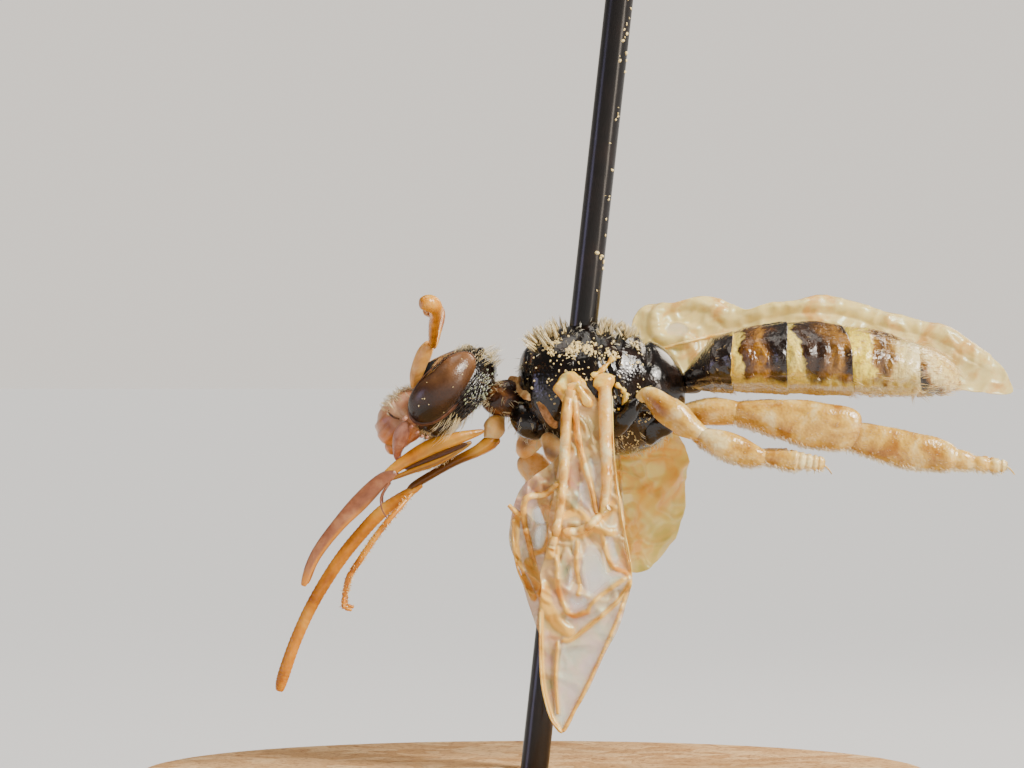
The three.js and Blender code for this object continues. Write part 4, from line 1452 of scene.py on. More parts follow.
@dataclass
class Thorax:
    """The pinned mid-body: one seamed shell, the neck, the coxal lobes and the wing roots."""

    shell: Loft = field(init=False)
    lobes: list[Loft] = field(init=False)
    stalk: Loft = field(init=False)

    def __post_init__(self) -> None:
        """Sets the forms that the coat also grows on."""
        def seams(points: Array, t: Array) -> Array:
            """Grooves between the plates.

            Args:
                points: Points of the shell.
                t: Places along it.

            Returns:
                The heights.
            """
            x, y, z = points.T
            top = ease(z, 0.2, 0.6)
            side = ease(np.abs(y), 0.5, 0.9)
            collar = -0.07 * bell(x - 0.12 * z, -0.93, 0.045)
            scutellum = top * (-0.07 * bell(x + 0.1 * np.abs(y), 0.6, 0.05) - 0.08 * bell(x, 1, 0.05))
            line = -0.02 * bell(y, 0, 0.04) * top * (x < 0.5)
            pleura = side * (-0.06 * bell(x + 0.35 * z, 0.5, 0.05) - 0.05 * bell(x - 0.3 * z, -0.25, 0.05)
                - 0.05 * bell(z, -0.35, 0.06) * (x > 0.35))
            lump = 0.03 * np.sin(5.1 * x + 1.3) * np.sin(4.3 * z + 0.6) * side
            return collar + scutellum + line + pleura + lump

        self.shell = Loft([(-1.04, 0, 0.03, 0.44, 0.37), (-0.88, 0, 0.04, 0.84, 0.76),
            (-0.4, 0, 0.05, 1.07, 0.97), (0.2, 0, 0.01, 1.12, 1.06), (0.72, 0, -0.055, 1.04, 1.015),
            (1.25, 0, -0.02, 0.95, 0.88), (1.64, 0, 0, 0.72, 0.62)], LEVEL, 0.45, 2.1, seams)
        self.stalk = Loft([(-1.62, 0, -0.1, 0.24, 0.26), (-1.3, 0, -0.14, 0.28, 0.3),
            (-1, 0, -0.1, 0.34, 0.34)])
        self.lobes = [Loft([(-1.12, s * 0.3, -0.3, 0.2, 0.22), (-0.86, s * 0.38, -0.5, 0.28, 0.28),
            (-0.62, s * 0.42, -0.72, 0.22, 0.22)], LEVEL, 0.55) for s in (-1, 1)]

    def build(self) -> None:
        """Makes the shell and what grows from it."""
        made = skin("thorax_shell", self.shell, 160, 130, polish=lambda u, v: 0.95 * ease(v, 0.7, 0.76))
        finished(made, BLACK_SHELL, "shell", "pronotum", "mesothorax", "scutellum", "propodeum")
        for side, lobe in zip(("left", "right"), self.lobes):
            finished(skin(f"fore_coxa_lobe_{side}", lobe, 32, 28), BLACK_SHELL, "shell", f"fore_coxa_{side}")
        self.neck()
        self.roots()
        self.dust()

    def neck(self) -> None:
        """A brown tube with tan plates round it."""
        finished(skin("neck_tube", self.stalk, 32, 24), BROWN_SHELL, "shell")
        parts = []
        for side in (-1, 1):
            for route, broad in ((((-1.2, 0.2), (-1.04, 0.1), (-0.9, -0.06), (-0.84, -0.16)), 0.11),
                    (((-0.72, -0.18), (-0.6, -0.32), (-0.48, -0.5), (-0.42, -0.6)), 0.1),
                    (((-1.22, -0.05), (-1.14, -0.16), (-1.05, -0.24)), 0.06)):
                line = laid(self.shell, route, 4, side) - THORAX
                sizes = broad * np.array([0.6, 1, 1, 0.5])
                plate = Loft([(*at, size, 0.25 * size) for at, size in zip(line, sizes)], (0.6, 0, 0.8), 0.4)
                parts.append(skin("plate", plate, 24, 20))
        finished(joined("neck_plates", parts), NECK_SHELL, "amber", "neck")

    def roots(self) -> None:
        """The swollen yellow roots of the wings."""
        for side, name in SIDES:
            forms = [Loft(mirrored(rows, side), (1, 0, 0), 0.6, 2, lambda p, t: 0.03 * Waves(0.3, 12).at(p))
                for rows in ([(-0.3, 1.08, 0.26, 0.16, 0.12), (-0.22, 1.2, 0.06, 0.25, 0.18),
                (-0.2, 1.26, -0.24, 0.18, 0.12)], [(0.24, 1.08, 0.24, 0.13, 0.1),
                (0.32, 1.15, 0.12, 0.17, 0.13), (0.36, 1.2, -0.06, 0.13, 0.1)],
                [(-0.14, 1.3, 0.1, 0.05, 0.05), (-0.02, 1.36, -0.08, 0.06, 0.05),
                (0.14, 1.34, -0.26, 0.05, 0.05)])]
            cords = []
            for route in (((0.12, 0.22), (0.28, 0.32), (0.45, 0.5)), ((0.68, -0.04), (0.58, -0.36),
                    (0.43, -0.58)), ((1, -0.12), (0.74, -0.2), (0.55, -0.34)), ((0.5, 0.1), (0.62, 0),
                    (0.66, -0.12))):
                line = laid(self.shell, route, 24, side) + (0, side * 0.02, 0)
                cords.append(tube("cord", line, 0.04 + 0.015 * np.sin(np.linspace(0, 14, 24))))
            made = joined(f"wing_root_{name}", [*(skin("root", form, 36, 32) for form in forms), *cords])
            finished(made, ROOT_SHELL, "cream", f"tegula_{name}")

    def dust(self) -> None:
        """Dried pollen and scurf: a crust under the back's edge, dots on the sides, patches low behind; the
        dots are partly dust and partly painted highlight, pale grains for glints on hair tips.
        """
        zones = {"crust": (640, 0.01, 0.026, lambda p, n: bell(p[:, 2], 0.66 - 0.08 * p[:, 0], 0.12)
            * ease(p[:, 0], -0.75, -0.45) * ease(-p[:, 0], -1, -0.8) * ease(Waves(0.3, 4).at(p), -0.2, 0.5)),
            # dots: pale grains that partly stand for glints on hair tips, a painted highlight
            "dots": (260, 0.013, 0.024, lambda p, n: ease(p[:, 2], -0.4, 0.1) * ease(-p[:, 2], -0.85, -0.7)
            * ease(np.abs(p[:, 1]), 0.3, 0.5) * ease(p[:, 0], -1, -0.8) * ease(-p[:, 0], -1.1, -0.9)),
            "patches": (300, 0.007, 0.02, lambda p, n: bell(p[:, 0], 0.75, 0.35) * bell(p[:, 2], -0.6, 0.35)
            * ease(np.abs(p[:, 1]), 0.2, 0.4) * ease(Waves(0.35, 9).at(p), 0, 0.4))}
        for seed, (name, (count, low, high, here)) in enumerate(zones.items()):
            patch = Patch(self.shell, count, 0, UP, here=here)
            places = Coat("dust", DUST, [patch], seed=61 + seed).roots(patch)[0]
            sizes = np.random.default_rng(71 + seed).uniform(low, high, len(places))
            specks(f"thorax_{name}", places, sizes, DUST, "shell")

    def coats(self) -> list[Coat]:
        """The thorax's hair: standing spikes in front and above, thin short hair elsewhere."""
        shell = self.shell
        return [Coat("coat_thorax_back", PALE_HAIR, [  # the collar's ruff, behind the pin, and the neck
            Patch(shell, 80, 0.21, (-0.45, 0, 1), 0.95, lambda p, n: ease(p[:, 2], 0.6, 0.75)
                * ease(-p[:, 0], 0.25, 0.45), 0.02, 0.05, 8, 0.022, 1),
            Patch(shell, 90, 0.14, (0.1, 0, 1), 0.95, lambda p, n: ease(p[:, 2], 0.8, 0.95)
                * ease(p[:, 0], 0.15, 0.3) * ease(-p[:, 0], -1, -0.85), 0.018, 0.1, 6, 0.018, 1),
            Patch(self.stalk, 60, 0.16, (-0.2, 0, -1), 0.5, None, 0.009, 0.2, 3, 0.02, 0.3)], seed=21),
            Coat("coat_thorax_sides", SILVER_HAIR, [
            Patch(shell, 260, 0.11, (0.6, 0, -0.5), 0.45, lambda p, n: (0.4 + 0.6 * ease(p[:, 2], 0.2, 0.5))
                * ease(p[:, 2], -1, -0.8) * ease(-p[:, 0], -1.1, -0.9), 0.009, 0.35, 2, 0.02, 0.3)],
            seed=22),
            Coat("coat_thorax_under", PALE_HAIR, [
            Patch(shell, 240, 0.12, (0.4, 0, -1), 0.5, lambda p, n: ease(-n[:, 2], 0.4, 0.8), 0.01, 0.3, 3,
                0.03, 0.4),
            *(Patch(lobe, 40, 0.12, (-0.3, 0, -1), 0.4, None, 0.009, 0.2, 3) for lobe in self.lobes)],
            seed=23)]


# ---- abdomen


@dataclass
class Abdomen:
    """The banded abdomen: a waist and five overlapping rings."""

    # where each ring starts and the last one ends
    ends: Sequence[float] = (1.7, 2.39, 3.27, 4.32, 5.42, 6.06)
    bands: Sequence[Band] = (Band.WAIST, Band.FRONT, Band.MIDDLE, Band.REAR, Band.TIP)
    # rows of x, the lowest and highest points and the half-width
    profile: Rows = ((1.55, 0.02, 0.24, 0.16), (1.75, 0, 0.5, 0.42), (2.05, -0.02, 0.84, 0.8),
        (2.6, -0.04, 1.02, 0.99), (3.2, -0.06, 1.09, 1.06), (3.9, -0.08, 1.1, 1.07),
        (4.6, -0.1, 1, 0.98), (5.3, -0.09, 0.79, 0.74), (5.8, -0.04, 0.56, 0.44), (6.06, 0.02, 0.3, 0.18))

    def section(self, x: Array) -> tuple[Array, Array, Array]:
        """The middle height and the half height and width of the abdomen at x."""
        rows = np.array(self.profile)
        low, high, half = (np.interp(x, rows[:, 0], rows[:, k]) for k in (1, 2, 3))
        return (low + high) / 2, (high - low) / 2, half

    def build(self) -> None:
        """Makes the waist and the rings."""
        waist = Loft([(1.45, 0, 0.1, 0.2, 0.16), (1.7, 0, 0.12, 0.22, 0.18), (1.9, 0, 0.16, 0.3, 0.24)])
        finished(skin("waist", waist, 32, 20), BLACK_SHELL, "shell")
        for i, band in enumerate(self.bands):
            finish = Tergite(f"ring_{i + 1}_cuticle", rough=0.24, ior=1.52, depth=0.026, coat=0.6,
                glow=0.15, reach=0.08, band=band)
            ring = RingPlate(self, i)
            finished(skin(f"abdomen_plate_{i + 1}", ring, 128, 96, stripe=ring.stripe, belly=ring.belly),
                finish, "band", f"abdomen_ring_{i + 1}")

    def coats(self) -> list[Coat]:
        """Sparse swept hair, thicker to the rear."""
        rear = [Patch(RingPlate(self, i), tufts, length, (1, 0, -0.12), lift, None, 0.01, 0.06, 2, 0.02, 0.2)
            for i, tufts, length, lift in ((0, 110, 0.08, 0.2), (1, 50, 0.07, 0.1), (2, 80, 0.08, 0.1),
            (3, 380, 0.16, 0.06), (4, 380, 0.22, 0.08))]
        return [Coat("coat_abdomen", GOLD_HAIR, rear, "band", 31)]


@dataclass
class RingPlate:
    """One ring: it starts inside the ring before, flares a little and turns in at its rear."""

    whole: Abdomen
    number: int  # its place in the row

    def at(self, around: Array, along: Array) -> Array:
        """Its points, in the part's frame.

        Args:
            around: Places round it.
            along: Places along it.

        Returns:
            The points.
        """
        start, end = self.whole.ends[self.number:self.number + 2]
        span = end - start
        marks = np.array([0, 0.06, 0.14, 0.3, 0.5, 0.7, 0.86, 0.9, 0.94, 1])
        if self.number == len(self.whole.bands) - 1:
            x_of = start + span * np.array([-0.2, -0.2, -0.1, 0.1, 0.35, 0.6, 0.85, 0.93, 0.98, 1])
            size = np.array([0, 0.9, 0.97, 1, 1, 1, 0.95, 0.8, 0.5, 0])
        else:
            x_of = start + span * np.array([-0.12, -0.12, -0.04, 0.2, 0.45, 0.7, 0.98, 1, 0.97, 0.9])
            size = np.array([0, 0.88, 0.965, 0.995, 1, 1.01, 1.035, 1.02, 0.93, 0])
        x, scale = np.interp(along, marks, x_of), np.interp(along, marks, size)
        middle, tall, half = self.whole.section(x)
        angle = TURN * around
        y, z = np.cos(angle), np.sin(angle)
        shown = ease(scale, 0.85, 0.95)
        plain = np.stack([x, y * half, z * tall], 1)
        wrinkle = 0.014 * np.sin(27 * x + 2.5 * np.sin(3 * angle + self.number)) * bell(z, 0.1, 0.6)
        dents = 0.02 * Waves(0.7, 70 + self.number).at(plain) + 0.008 * Waves(0.2, 80).ridges(plain)
        scallop = 0.045 * np.abs(np.sin(19 * x)) * bell(z, -0.6, 0.14) * ease(x, 3.2, 4.2)
        scale = scale * (1 - 0.04 * bell(z, -0.5, 0.1)) + (wrinkle + dents + scallop) * shown
        lean = 0.07 * (0.5 - y**2) - (0, 0.02, 0.2, 0.05, 0)[self.number] * np.maximum(z, 0) ** 2
        keel = np.where(z < 0, np.abs(z) ** 0.8 * -1, z)
        return THORAX + np.stack([x + lean * (scale > 0.5), y * half * scale, middle + keel * tall * scale],
            1)

    def stripe(self, around: Array, along: Array) -> Array:
        """Where each point lies in the run of bands, which slant and waver down the side.

        Args:
            around: Places round it.
            along: Places along it.

        Returns:
            A number for each.
        """
        points = self.at(around, along) - THORAX
        # the last ring's steep slant puts its pale end on top and its dark part below: partly painted
        # highlight
        slant, pivot = ((0.02, 0.5), (0.1, 0.5), (0.06, 0.5), (-0.06, 0.5), (0.9, 0.14))[self.number]
        tooth = 0.05 * Waves(0.5, 90 + self.number).at(points)
        return along + slant * (points[:, 2] - pivot) + tooth

    def belly(self, around: Array, along: Array) -> Array:
        """How far each point belongs to the pale underside."""
        points = self.at(around, along) - THORAX
        edge = (0.02, 0.2, 0.18, 0.2, -0.14)[self.number] + 0.08 * Waves(0.35, 95).at(points)
        return 0.9 * ease(edge - points[:, 2], -0.06, 0.1)


# ---- wings


@dataclass
class Blade:
    """A wing's film: a sheet along a spine, crumpled where it dried in folds."""

    stations: Rows  # rows of x, y, z, half-width and how crumpled it is
    broad: Sequence[float]  # the direction across the wing
    # clear places: x, z, their half-sizes and how clear they are
    windows: Sequence[tuple[float, float, float, float, float]] = ()
    folds: Routes = ()  # where the film lies doubled
    crumple: float = 0.09  # how far its creases rise
    seed: int = 5
    body: float = 0.3  # how thick its plain film is
    swell: float = 0.055  # how far its folds stand out

    def at(self, around: Array, along: Array) -> Array:
        """Its points; around runs across the wing from edge to edge.

        Args:
            around: Places round it.
            along: Places along it.

        Returns:
            The points.
        """
        rows = np.array(self.stations, float)
        centre, sizes = spline(rows[:, :3], along), spline(rows[:, 3:5], along)
        step = 1e-3
        tangent = unit(spline(rows[:, :3], np.minimum(along + step, 1))
            - spline(rows[:, :3], np.maximum(along - step, 0)))
        broad = np.array(self.broad, float)
        wide = unit(broad - tangent * (tangent @ broad)[:, None])
        normal = np.cross(tangent, wide)
        across = np.clip(around, 0, 1) * 2 - 1
        tip = np.sqrt(np.maximum(1 - ((along - 0.93) / 0.07).clip(0, 1) ** 2, 0))
        flat = centre + wide * (across * sizes[:, 0] * tip)[:, None]
        rim = 1 + 0.09 * Waves(0.9, self.seed).at(centre) * sizes[:, 1].clip(0, 1)
        flat = centre + (flat - centre) * rim[:, None]
        fold = Waves(1.1, self.seed + 1).ridges(flat) + 0.5 * Waves(0.45, self.seed + 2).ridges(flat)
        bow = 0.06 * Waves(2.2, self.seed + 3).at(flat)
        lift = self.crumple * fold * (0.12 + sizes[:, 1] * self.solid(flat)) + bow
        lift = lift + self.swell * self.doubled(flat)
        return THORAX + flat + normal * lift[:, None]

    def solid(self, flat: Array) -> Array:
        """How thick the film is.

        Args:
            flat: Points on it.

        Returns:
            A number for each, from 0 in a window to 1.
        """
        out = np.ones(len(flat))
        for x, z, wide, tall, clear in self.windows:
            round_it = ((flat[:, 0] - x) / wide) ** 2 + ((flat[:, 2] - z) / tall) ** 2
            out = out - clear * ease(-round_it, -1.3, -0.7)
        return np.clip(out, 0, 1)

    def doubled(self, flat: Array) -> Array:
        """How far it lies doubled.

        Args:
            flat: Points on it.

        Returns:
            A number for each, from 0 to 1 in a fold.
        """
        out = np.zeros(len(flat))
        for width, route in self.folds:
            line = spline(np.array(route, float), np.linspace(0, 1, 12 * len(route)))
            far = ((flat[:, None, [0, 2]] - line[None]) ** 2).sum(2).min(1)
            out = np.maximum(out, np.exp(-(far / width**2) ** 1.4))
            out = np.maximum(out, 0.5 * np.exp(-far / (2.5 * width) ** 2))
        return out


@dataclass
class Wing:
    """One wing: its film and its raised veins."""

    name: str
    node: str  # the solid that it replaces
    blade: Blade
    film: Film
    veins: Routes  # a radius and a route for each vein
    grid: tuple[int, int] = (70, 240)  # faces across and along
    proud: float = 0.02  # how far the veins stand off the film

    def build(self) -> None:
        """Makes the film and its veins."""
        self.membrane()
        self.net()

    def membrane(self) -> None:
        """A thin sheet with a little thickness."""
        across, along = self.grid
        deselect()
        bpy.ops.mesh.primitive_grid_add(x_subdivisions=across, y_subdivisions=along, size=2)
        made = take(f"{self.name}_film")
        sheet = coordinates(made)
        u, v = (sheet[:, 0] + 1) / 2, (sheet[:, 1] + 1) / 2
        creased = spline(np.array(self.blade.stations, float)[:, 4:5], v)[:, 0]
        points = self.blade.at(u, v)
        flat = points - THORAX
        plain = self.blade.solid(flat) * self.blade.body * (0.25 + 0.75 * creased)
        mark(made, "thick", np.clip(np.maximum(plain, self.blade.doubled(flat)), 0, 1))
        place(made, points)
        solid = made.modifiers.new("thickness", "SOLIDIFY")
        solid.thickness = 0.016 * MM
        solid.offset = 0
        alone(made)
        bpy.ops.object.modifier_apply(modifier="thickness")
        finished(settle(made), self.film, "wing", self.node)

    def net(self) -> None:
        """The veins, as knotted tubes that follow the film."""
        tubes = []
        for number, (radius, route) in enumerate(self.veins):
            centre = laid(self.blade, route, 10 * len(route))
            centre[:, 1] -= self.proud
            knots = 1 + 0.08 * Waves(1.1, 60 + number).at(centre)
            tubes.append(tube("vein", centre, radius * knots * np.linspace(1.1, 0.75, len(centre))))
        finished(joined(f"{self.name}_veins", tubes), VEIN, "wing")


# the wings as they dried: the left pair and the right hindwing hang
WINGS = [Wing("left_forewing", "forewing_left", Blade([(-0.14, -1.3, 0.1, 0.16, 1),
    (0, -1.4, -0.45, 0.34, 1), (0.03, -1.45, -1.36, 0.46, 0.9), (0.04, -1.48, -1.92, 0.55, 1),
    (0.02, -1.51, -2.5, 0.68, 1), (0.02, -1.54, -3.03, 0.73, 1), (-0.08, -1.53, -3.6, 0.63, 0.5),
    (-0.2, -1.51, -4.15, 0.5, 0.2), (-0.31, -1.47, -4.7, 0.36, 0.15), (-0.36, -1.44, -5.1, 0.2, 0.1),
    (-0.36, -1.42, -5.42, 0.1, 0.1)], (1, 0, 0), [(0.05, -1.45, 0.12, 0.4, 0.8),
    (-0.15, -1.5, 0.09, 0.4, 0.8), (-0.28, -2.8, 0.1, 0.3, 0.9), (0.15, -2.85, 0.2, 0.4, 1),
    (-0.1, -3.36, 0.14, 0.12, 1), (0.45, -3.02, 0.2, 0.14, 0.9), (0.45, -2.5, 0.13, 0.25, 0.6)],
    [(0.1, ((-0.22, 0.05), (-0.28, -0.4), (-0.3, -0.8), (-0.33, -1.36), (-0.39, -1.92), (-0.46, -2.29),
    (-0.55, -2.6))), (0.06, ((-0.15, -0.2), (-0.1, -0.8), (-0.02, -1.14), (0.1, -1.51), (0.17, -1.88))),
    (0.11, ((0.33, 0.1), (0.34, -0.6), (0.35, -1.36), (0.32, -1.9))),
    (0.05, ((0.5, -0.9), (0.52, -1.4), (0.58, -1.95), (0.7, -2.6), (0.74, -2.9))),
    (0.13, ((-0.28, -2.28), (-0.02, -2.24), (0.24, -2.03), (0.42, -1.85))),
    (0.08, ((-0.35, -2), (-0.1, -1.95), (0.2, -2.2), (0.45, -2.25))),
    (0.045, ((-0.11, -2.4), (-0.13, -2.77), (-0.07, -3.1), (-0.1, -3.22))),
    (0.05, ((-0.43, -2.5), (-0.43, -3), (-0.35, -3.33), (-0.2, -3.56), (0.05, -3.5))),
    (0.045, ((0.28, -2.3), (0.42, -2.75), (0.68, -2.9))), (0.035,
    ((0.7, -2.94), (0.43, -3.12), (0.12, -3.36), (0.05, -3.5))),
    (0.045, ((0.72, -3.03), (0.5, -3.36), (0.06, -3.74), (-0.2, -3.94), (-0.32, -3.96))),
    (0.13, ((-0.66, -3.1), (-0.6, -3.4), (-0.42, -3.68), (-0.25, -3.82))),
    (0.045, ((-0.68, -3.5), (-0.68, -4.14), (-0.64, -4.7), (-0.52, -5.15), (-0.38, -5.4))),
    (0.03, ((-0.42, -4), (-0.45, -4.5), (-0.42, -5.1))), (0.035,
    ((0.72, -3.05), (0.5, -3.66), (0.17, -4.4), (-0.08, -4.92), (-0.32, -5.38)))], 0.06, 5, 0.5, 0.07),
    CREASED_FILM, [(0.085, ((-0.22, 0), (-0.28, -0.4), (-0.3, -0.8), (-0.33, -1.36), (-0.39, -1.92),
    (-0.46, -2.29), (-0.52, -2.5))), (0.1, ((0.33, 0.05), (0.34, -0.6), (0.35, -1.36), (0.3, -1.95))),
    (0.05, ((-0.16, -0.1), (-0.14, -0.31), (-0.08, -0.8), (0, -1.14), (0.1, -1.51), (0.2, -1.95))),
    (0.07, ((-0.3, -2.25), (-0.02, -2.2), (0.24, -2), (0.4, -1.85))),
    (0.012, ((0.44, -0.1), (0.47, -1.03), (0.58, -1.92), (0.72, -2.66), (0.75, -2.9))),
    (0.018, ((-0.7, -3.5), (-0.7, -4.14), (-0.665, -4.7), (-0.54, -5.18), (-0.38, -5.4))),
    (0.012, ((0.72, -3.03), (0.5, -3.36), (0.06, -3.74), (-0.2, -3.94)))]),
    Wing("left_hindwing", "hindwing_left", Blade([(0.14, -1.24, -0.1, 0.12, 1), (-0.12, -1.26, -1, 0.2, 1),
    (-0.66, -1.28, -1.72, 0.36, 1), (-0.8, -1.26, -2.2, 0.36, 1), (-0.72, -1.24, -2.8, 0.36, 1),
    (-0.55, -1.22, -3.5, 0.26, 0.8), (-0.5, -1.2, -4.2, 0.12, 0.4)], (1, 0, 0),
    [(-0.66, -1.98, 0.16, 0.14, 1), (-0.68, -2.35, 0.1, 0.2, 0.8), (-0.55, -1.62, 0.12, 0.1, 0.6)],
    [(0.06, ((-0.3, -1.4), (-0.6, -1.64), (-0.92, -1.72), (-0.95, -2.07), (-0.87, -2.45), (-0.8, -2.75))),
    (0.07, ((-1.06, -2), (-1.09, -2.45), (-1, -2.88), (-0.8, -3.3))),
    (0.05, ((-0.5, -1.8), (-0.52, -2.1), (-0.62, -2.5), (-0.78, -2.6))),
    (0.12, ((-0.87, -2.75), (-0.7, -3.15), (-0.58, -3.46), (-0.5, -3.9)))], 0.1, 9, 0.45), CREASED_FILM,
    [(0.05, ((-0.35, -1.4), (-0.6, -1.64), (-0.92, -1.72), (-0.95, -2.07), (-0.87, -2.45), (-0.78, -2.8))),
    (0.045, ((-1, -1.98), (-1.1, -1.92), (-1.2, -1.82))), (0.024,
    ((-1.12, -2.05), (-1.12, -2.45), (-1.04, -2.88), (-0.85, -3.3)))], (50, 160)),
    Wing("right_forewing", "forewing_right", Blade([(0.05, 1.2, 0.3, 0.14, 1), (0.85, 1.34, 0.5, 0.3, 1),
    (1.35, 1.42, 0.72, 0.7, 1), (2, 1.46, 0.82, 0.75, 1), (2.7, 1.48, 0.72, 0.62, 0.9),
    (3.65, 1.5, 0.85, 0.69, 0.9), (4.4, 1.5, 0.8, 0.69, 0.8), (4.95, 1.5, 0.66, 0.62, 0.8),
    (5.9, 1.46, 0.52, 0.56, 0.7), (6.6, 1.42, 0.26, 0.3, 0.7), (7.1, 1.4, 0, 0.14, 0.7)], (0, 0.3, 0.95),
    [(1.57, 0.98, 0.18, 0.12, 1)], [(0.14, ((2.4, 1.15), (2.1, 1.36), (1.66, 1.42), (1.3, 1.3), (1.2, 1.05),
    (1.3, 0.82), (1.7, 0.78))), (0.16, ((2.4, 1.15), (3, 1.3), (3.65, 1.4), (4.39, 1.34), (4.9, 1.16),
    (5.88, 0.94), (6.6, 0.5)))], 0.03, 13, 1, 0.16), SMOOTH_FILM,
    [(0.03, ((0.6, 0.4), (1.4, 0.7), (2.6, 0.95), (4.2, 0.95), (5.6, 0.62)))]),
    Wing("right_hindwing", "hindwing_right", Blade([(0.36, 1.25, 0, 0.14, 1), (0.95, 1.72, -0.95, 0.54, 1),
    (1.16, 1.84, -1.6, 0.74, 1), (1, 1.84, -2.3, 0.6, 0.9), (0.78, 1.8, -3, 0.21, 0.8)], (0.92, 0.38, 0), (),
    [(0.2, ((0.7, -0.6), (1.2, -1.1), (1.5, -1.5))), (0.18, ((0.8, -2.6), (1, -2.2), (1.4, -2)))], 0.07, 17,
    1), BLOTTED_FILM, [(0.03, ((0.4, -0.1), (0.6, -0.9), (0.66, -1.7), (0.7, -2.4), (0.78, -2.9)))],
    (60, 120))]


# ---- legs


@dataclass
class Leg:
    """One leg: a black hip, a thigh, a shank and a foot of five joints with claws."""

    pair: str  # fore, mid or hind
    side: int
    hip: Rows  # its rows of x, y, z and two half-sizes
    thigh: Rows
    shank: Rows
    foot: Rows
    shank_shell: Chitin = CREAM_SHELL
    brush: int = 250  # how thick its hair is

    @property
    def name(self) -> str:
        """The leg's name."""
        return f"{self.pair}_{dict(SIDES)[self.side]}"

    def forms(self) -> dict[str, Loft]:
        """The forms of the three lengths."""
        def lumps(points: Array, t: Array, knots: float = 0) -> Array:
            """Dried cuticle's unevenness, and a foot's long, three short and last joint."""
            waists = sum(bell(t, mark, 0.022) for mark in (0.5, 0.62, 0.74, 0.85))
            return knots * (-0.032 * waists + 0.02 * bell(t, 0.47, 0.05)) + 0.014 * Waves(0.5, 33).at(points)

        return {"femur": Loft(mirrored(self.thigh, self.side), UP, 0.5, 2, lumps),
            "tibia": Loft(mirrored(self.shank, self.side), UP, 0.42, 2.3, lumps),
            "tarsus": Loft(mirrored(self.foot, self.side), UP, 0.4, 2.2, lambda p, t: lumps(p, t, 1))}

    def build(self) -> None:
        """Makes the hip, the three lengths and the claws."""
        hip = Loft(mirrored(self.hip, self.side), UP, 0.5, 2, lambda p, t: 0.03 * Waves(0.4, 31).at(p))
        finished(skin(f"{self.name}_coxa", hip, 36, 30), BLACK_SHELL, "shell")
        for kind, form in self.forms().items():
            made = skin(f"{self.name}_{kind}", form, 36, 110 if kind == "tarsus" else 60,
                dim=self.hollow if kind == "femur" else self.joint)
            if kind == "tarsus":
                made = joined(f"{self.name}_{kind}", [made, *self.claws()])
            # the fore legs, in the thorax's shade, take the paler cream with painted light
            shell = PAINTED_LIGHT_CREAM_SHELL if self.pair == "fore" else CREAM_SHELL
            finished(made, self.shank_shell if kind == "tibia" else shell, "cream",
                f"leg_{kind}_{self.name}")

    def hollow(self, around: Array, along: Array) -> Array:
        """The brown window along a thigh's side, where its dried muscle shows."""
        return 0.8 * bell(along, 0.44, 0.16) * bell(np.cos(TURN * around), -0.15, 0.5)

    def joint(self, around: Array, along: Array) -> Array:
        """A little brown at the knee and the foot's end."""
        return 0.6 * (bell(along, 0.06, 0.1) + bell(along, 0.97, 0.06))

    def claws(self) -> list[Thing]:
        """Two curved claws at the end of the foot."""
        rows = np.array(mirrored(self.foot, self.side))
        end, way = rows[-1, :3], unit(rows[-1, :3] - rows[-2, :3])
        made = []
        for spread in (-0.05, 0.05):
            t = np.linspace(0, 1, 10)[:, None]
            path = (THORAX + end - way * 0.05 + np.array([0, spread, 0]) * (0.4 + t) + way * (0.16 * t)
                - np.array(UP) * (0.02 + 0.13 * t**2))
            made.append(tube("claw", path, 0.022 * (1 - 0.8 * t[:, 0])))
        return made

    def patches(self) -> list[Patch]:
        """The leg's hair, swept towards the foot, with a fringe along the lower edge."""
        out = []
        for (kind, form), rows, share in zip(self.forms().items(), (self.thigh, self.shank, self.foot),
                (0.5, 1, 1)):
            line = np.array(mirrored(rows, self.side))[:, :3]
            lie = unit(line[-1] - line[0])
            count = int(self.brush * share)
            out.append(Patch(form, count // 2, 0.06, lie, 0.15, None, 0.007, 0.2, 2, 0.012, 0.3))
            if kind != "femur":
                out.append(Patch(form, count // 2, 0.08, lie, 0.4, lambda p, n: ease(-n[:, 2], 0.6, 0.85),
                    0.01, 0.2, 2, 0.015, 0.7))
        return out


# rows of the hip, the thigh, the shank and the foot
MID = ([(0.42, 0.8, -0.66, 0.2, 0.2), (0.62, 0.95, -0.42, 0.2, 0.18), (0.9, 1.05, -0.14, 0.12, 0.12)],
    [(0.84, 1.03, -0.16, 0.1, 0.1), (1.03, 1.08, -0.08, 0.15, 0.14), (1.35, 1.18, -0.33, 0.235, 0.19),
    (1.65, 1.25, -0.56, 0.21, 0.17), (1.98, 1.3, -0.78, 0.15, 0.13)],
    [(1.8, 1.3, -0.7, 0.15, 0.14), (2.2, 1.33, -0.86, 0.21, 0.16), (2.6, 1.35, -1.01, 0.21, 0.16),
    (2.9, 1.36, -1.08, 0.16, 0.13)], [(2.78, 1.36, -1.04, 0.13, 0.12), (3.2, 1.34, -1.1, 0.15, 0.12),
    (3.55, 1.32, -1.14, 0.13, 0.11), (3.82, 1.3, -1.17, 0.13, 0.1)])
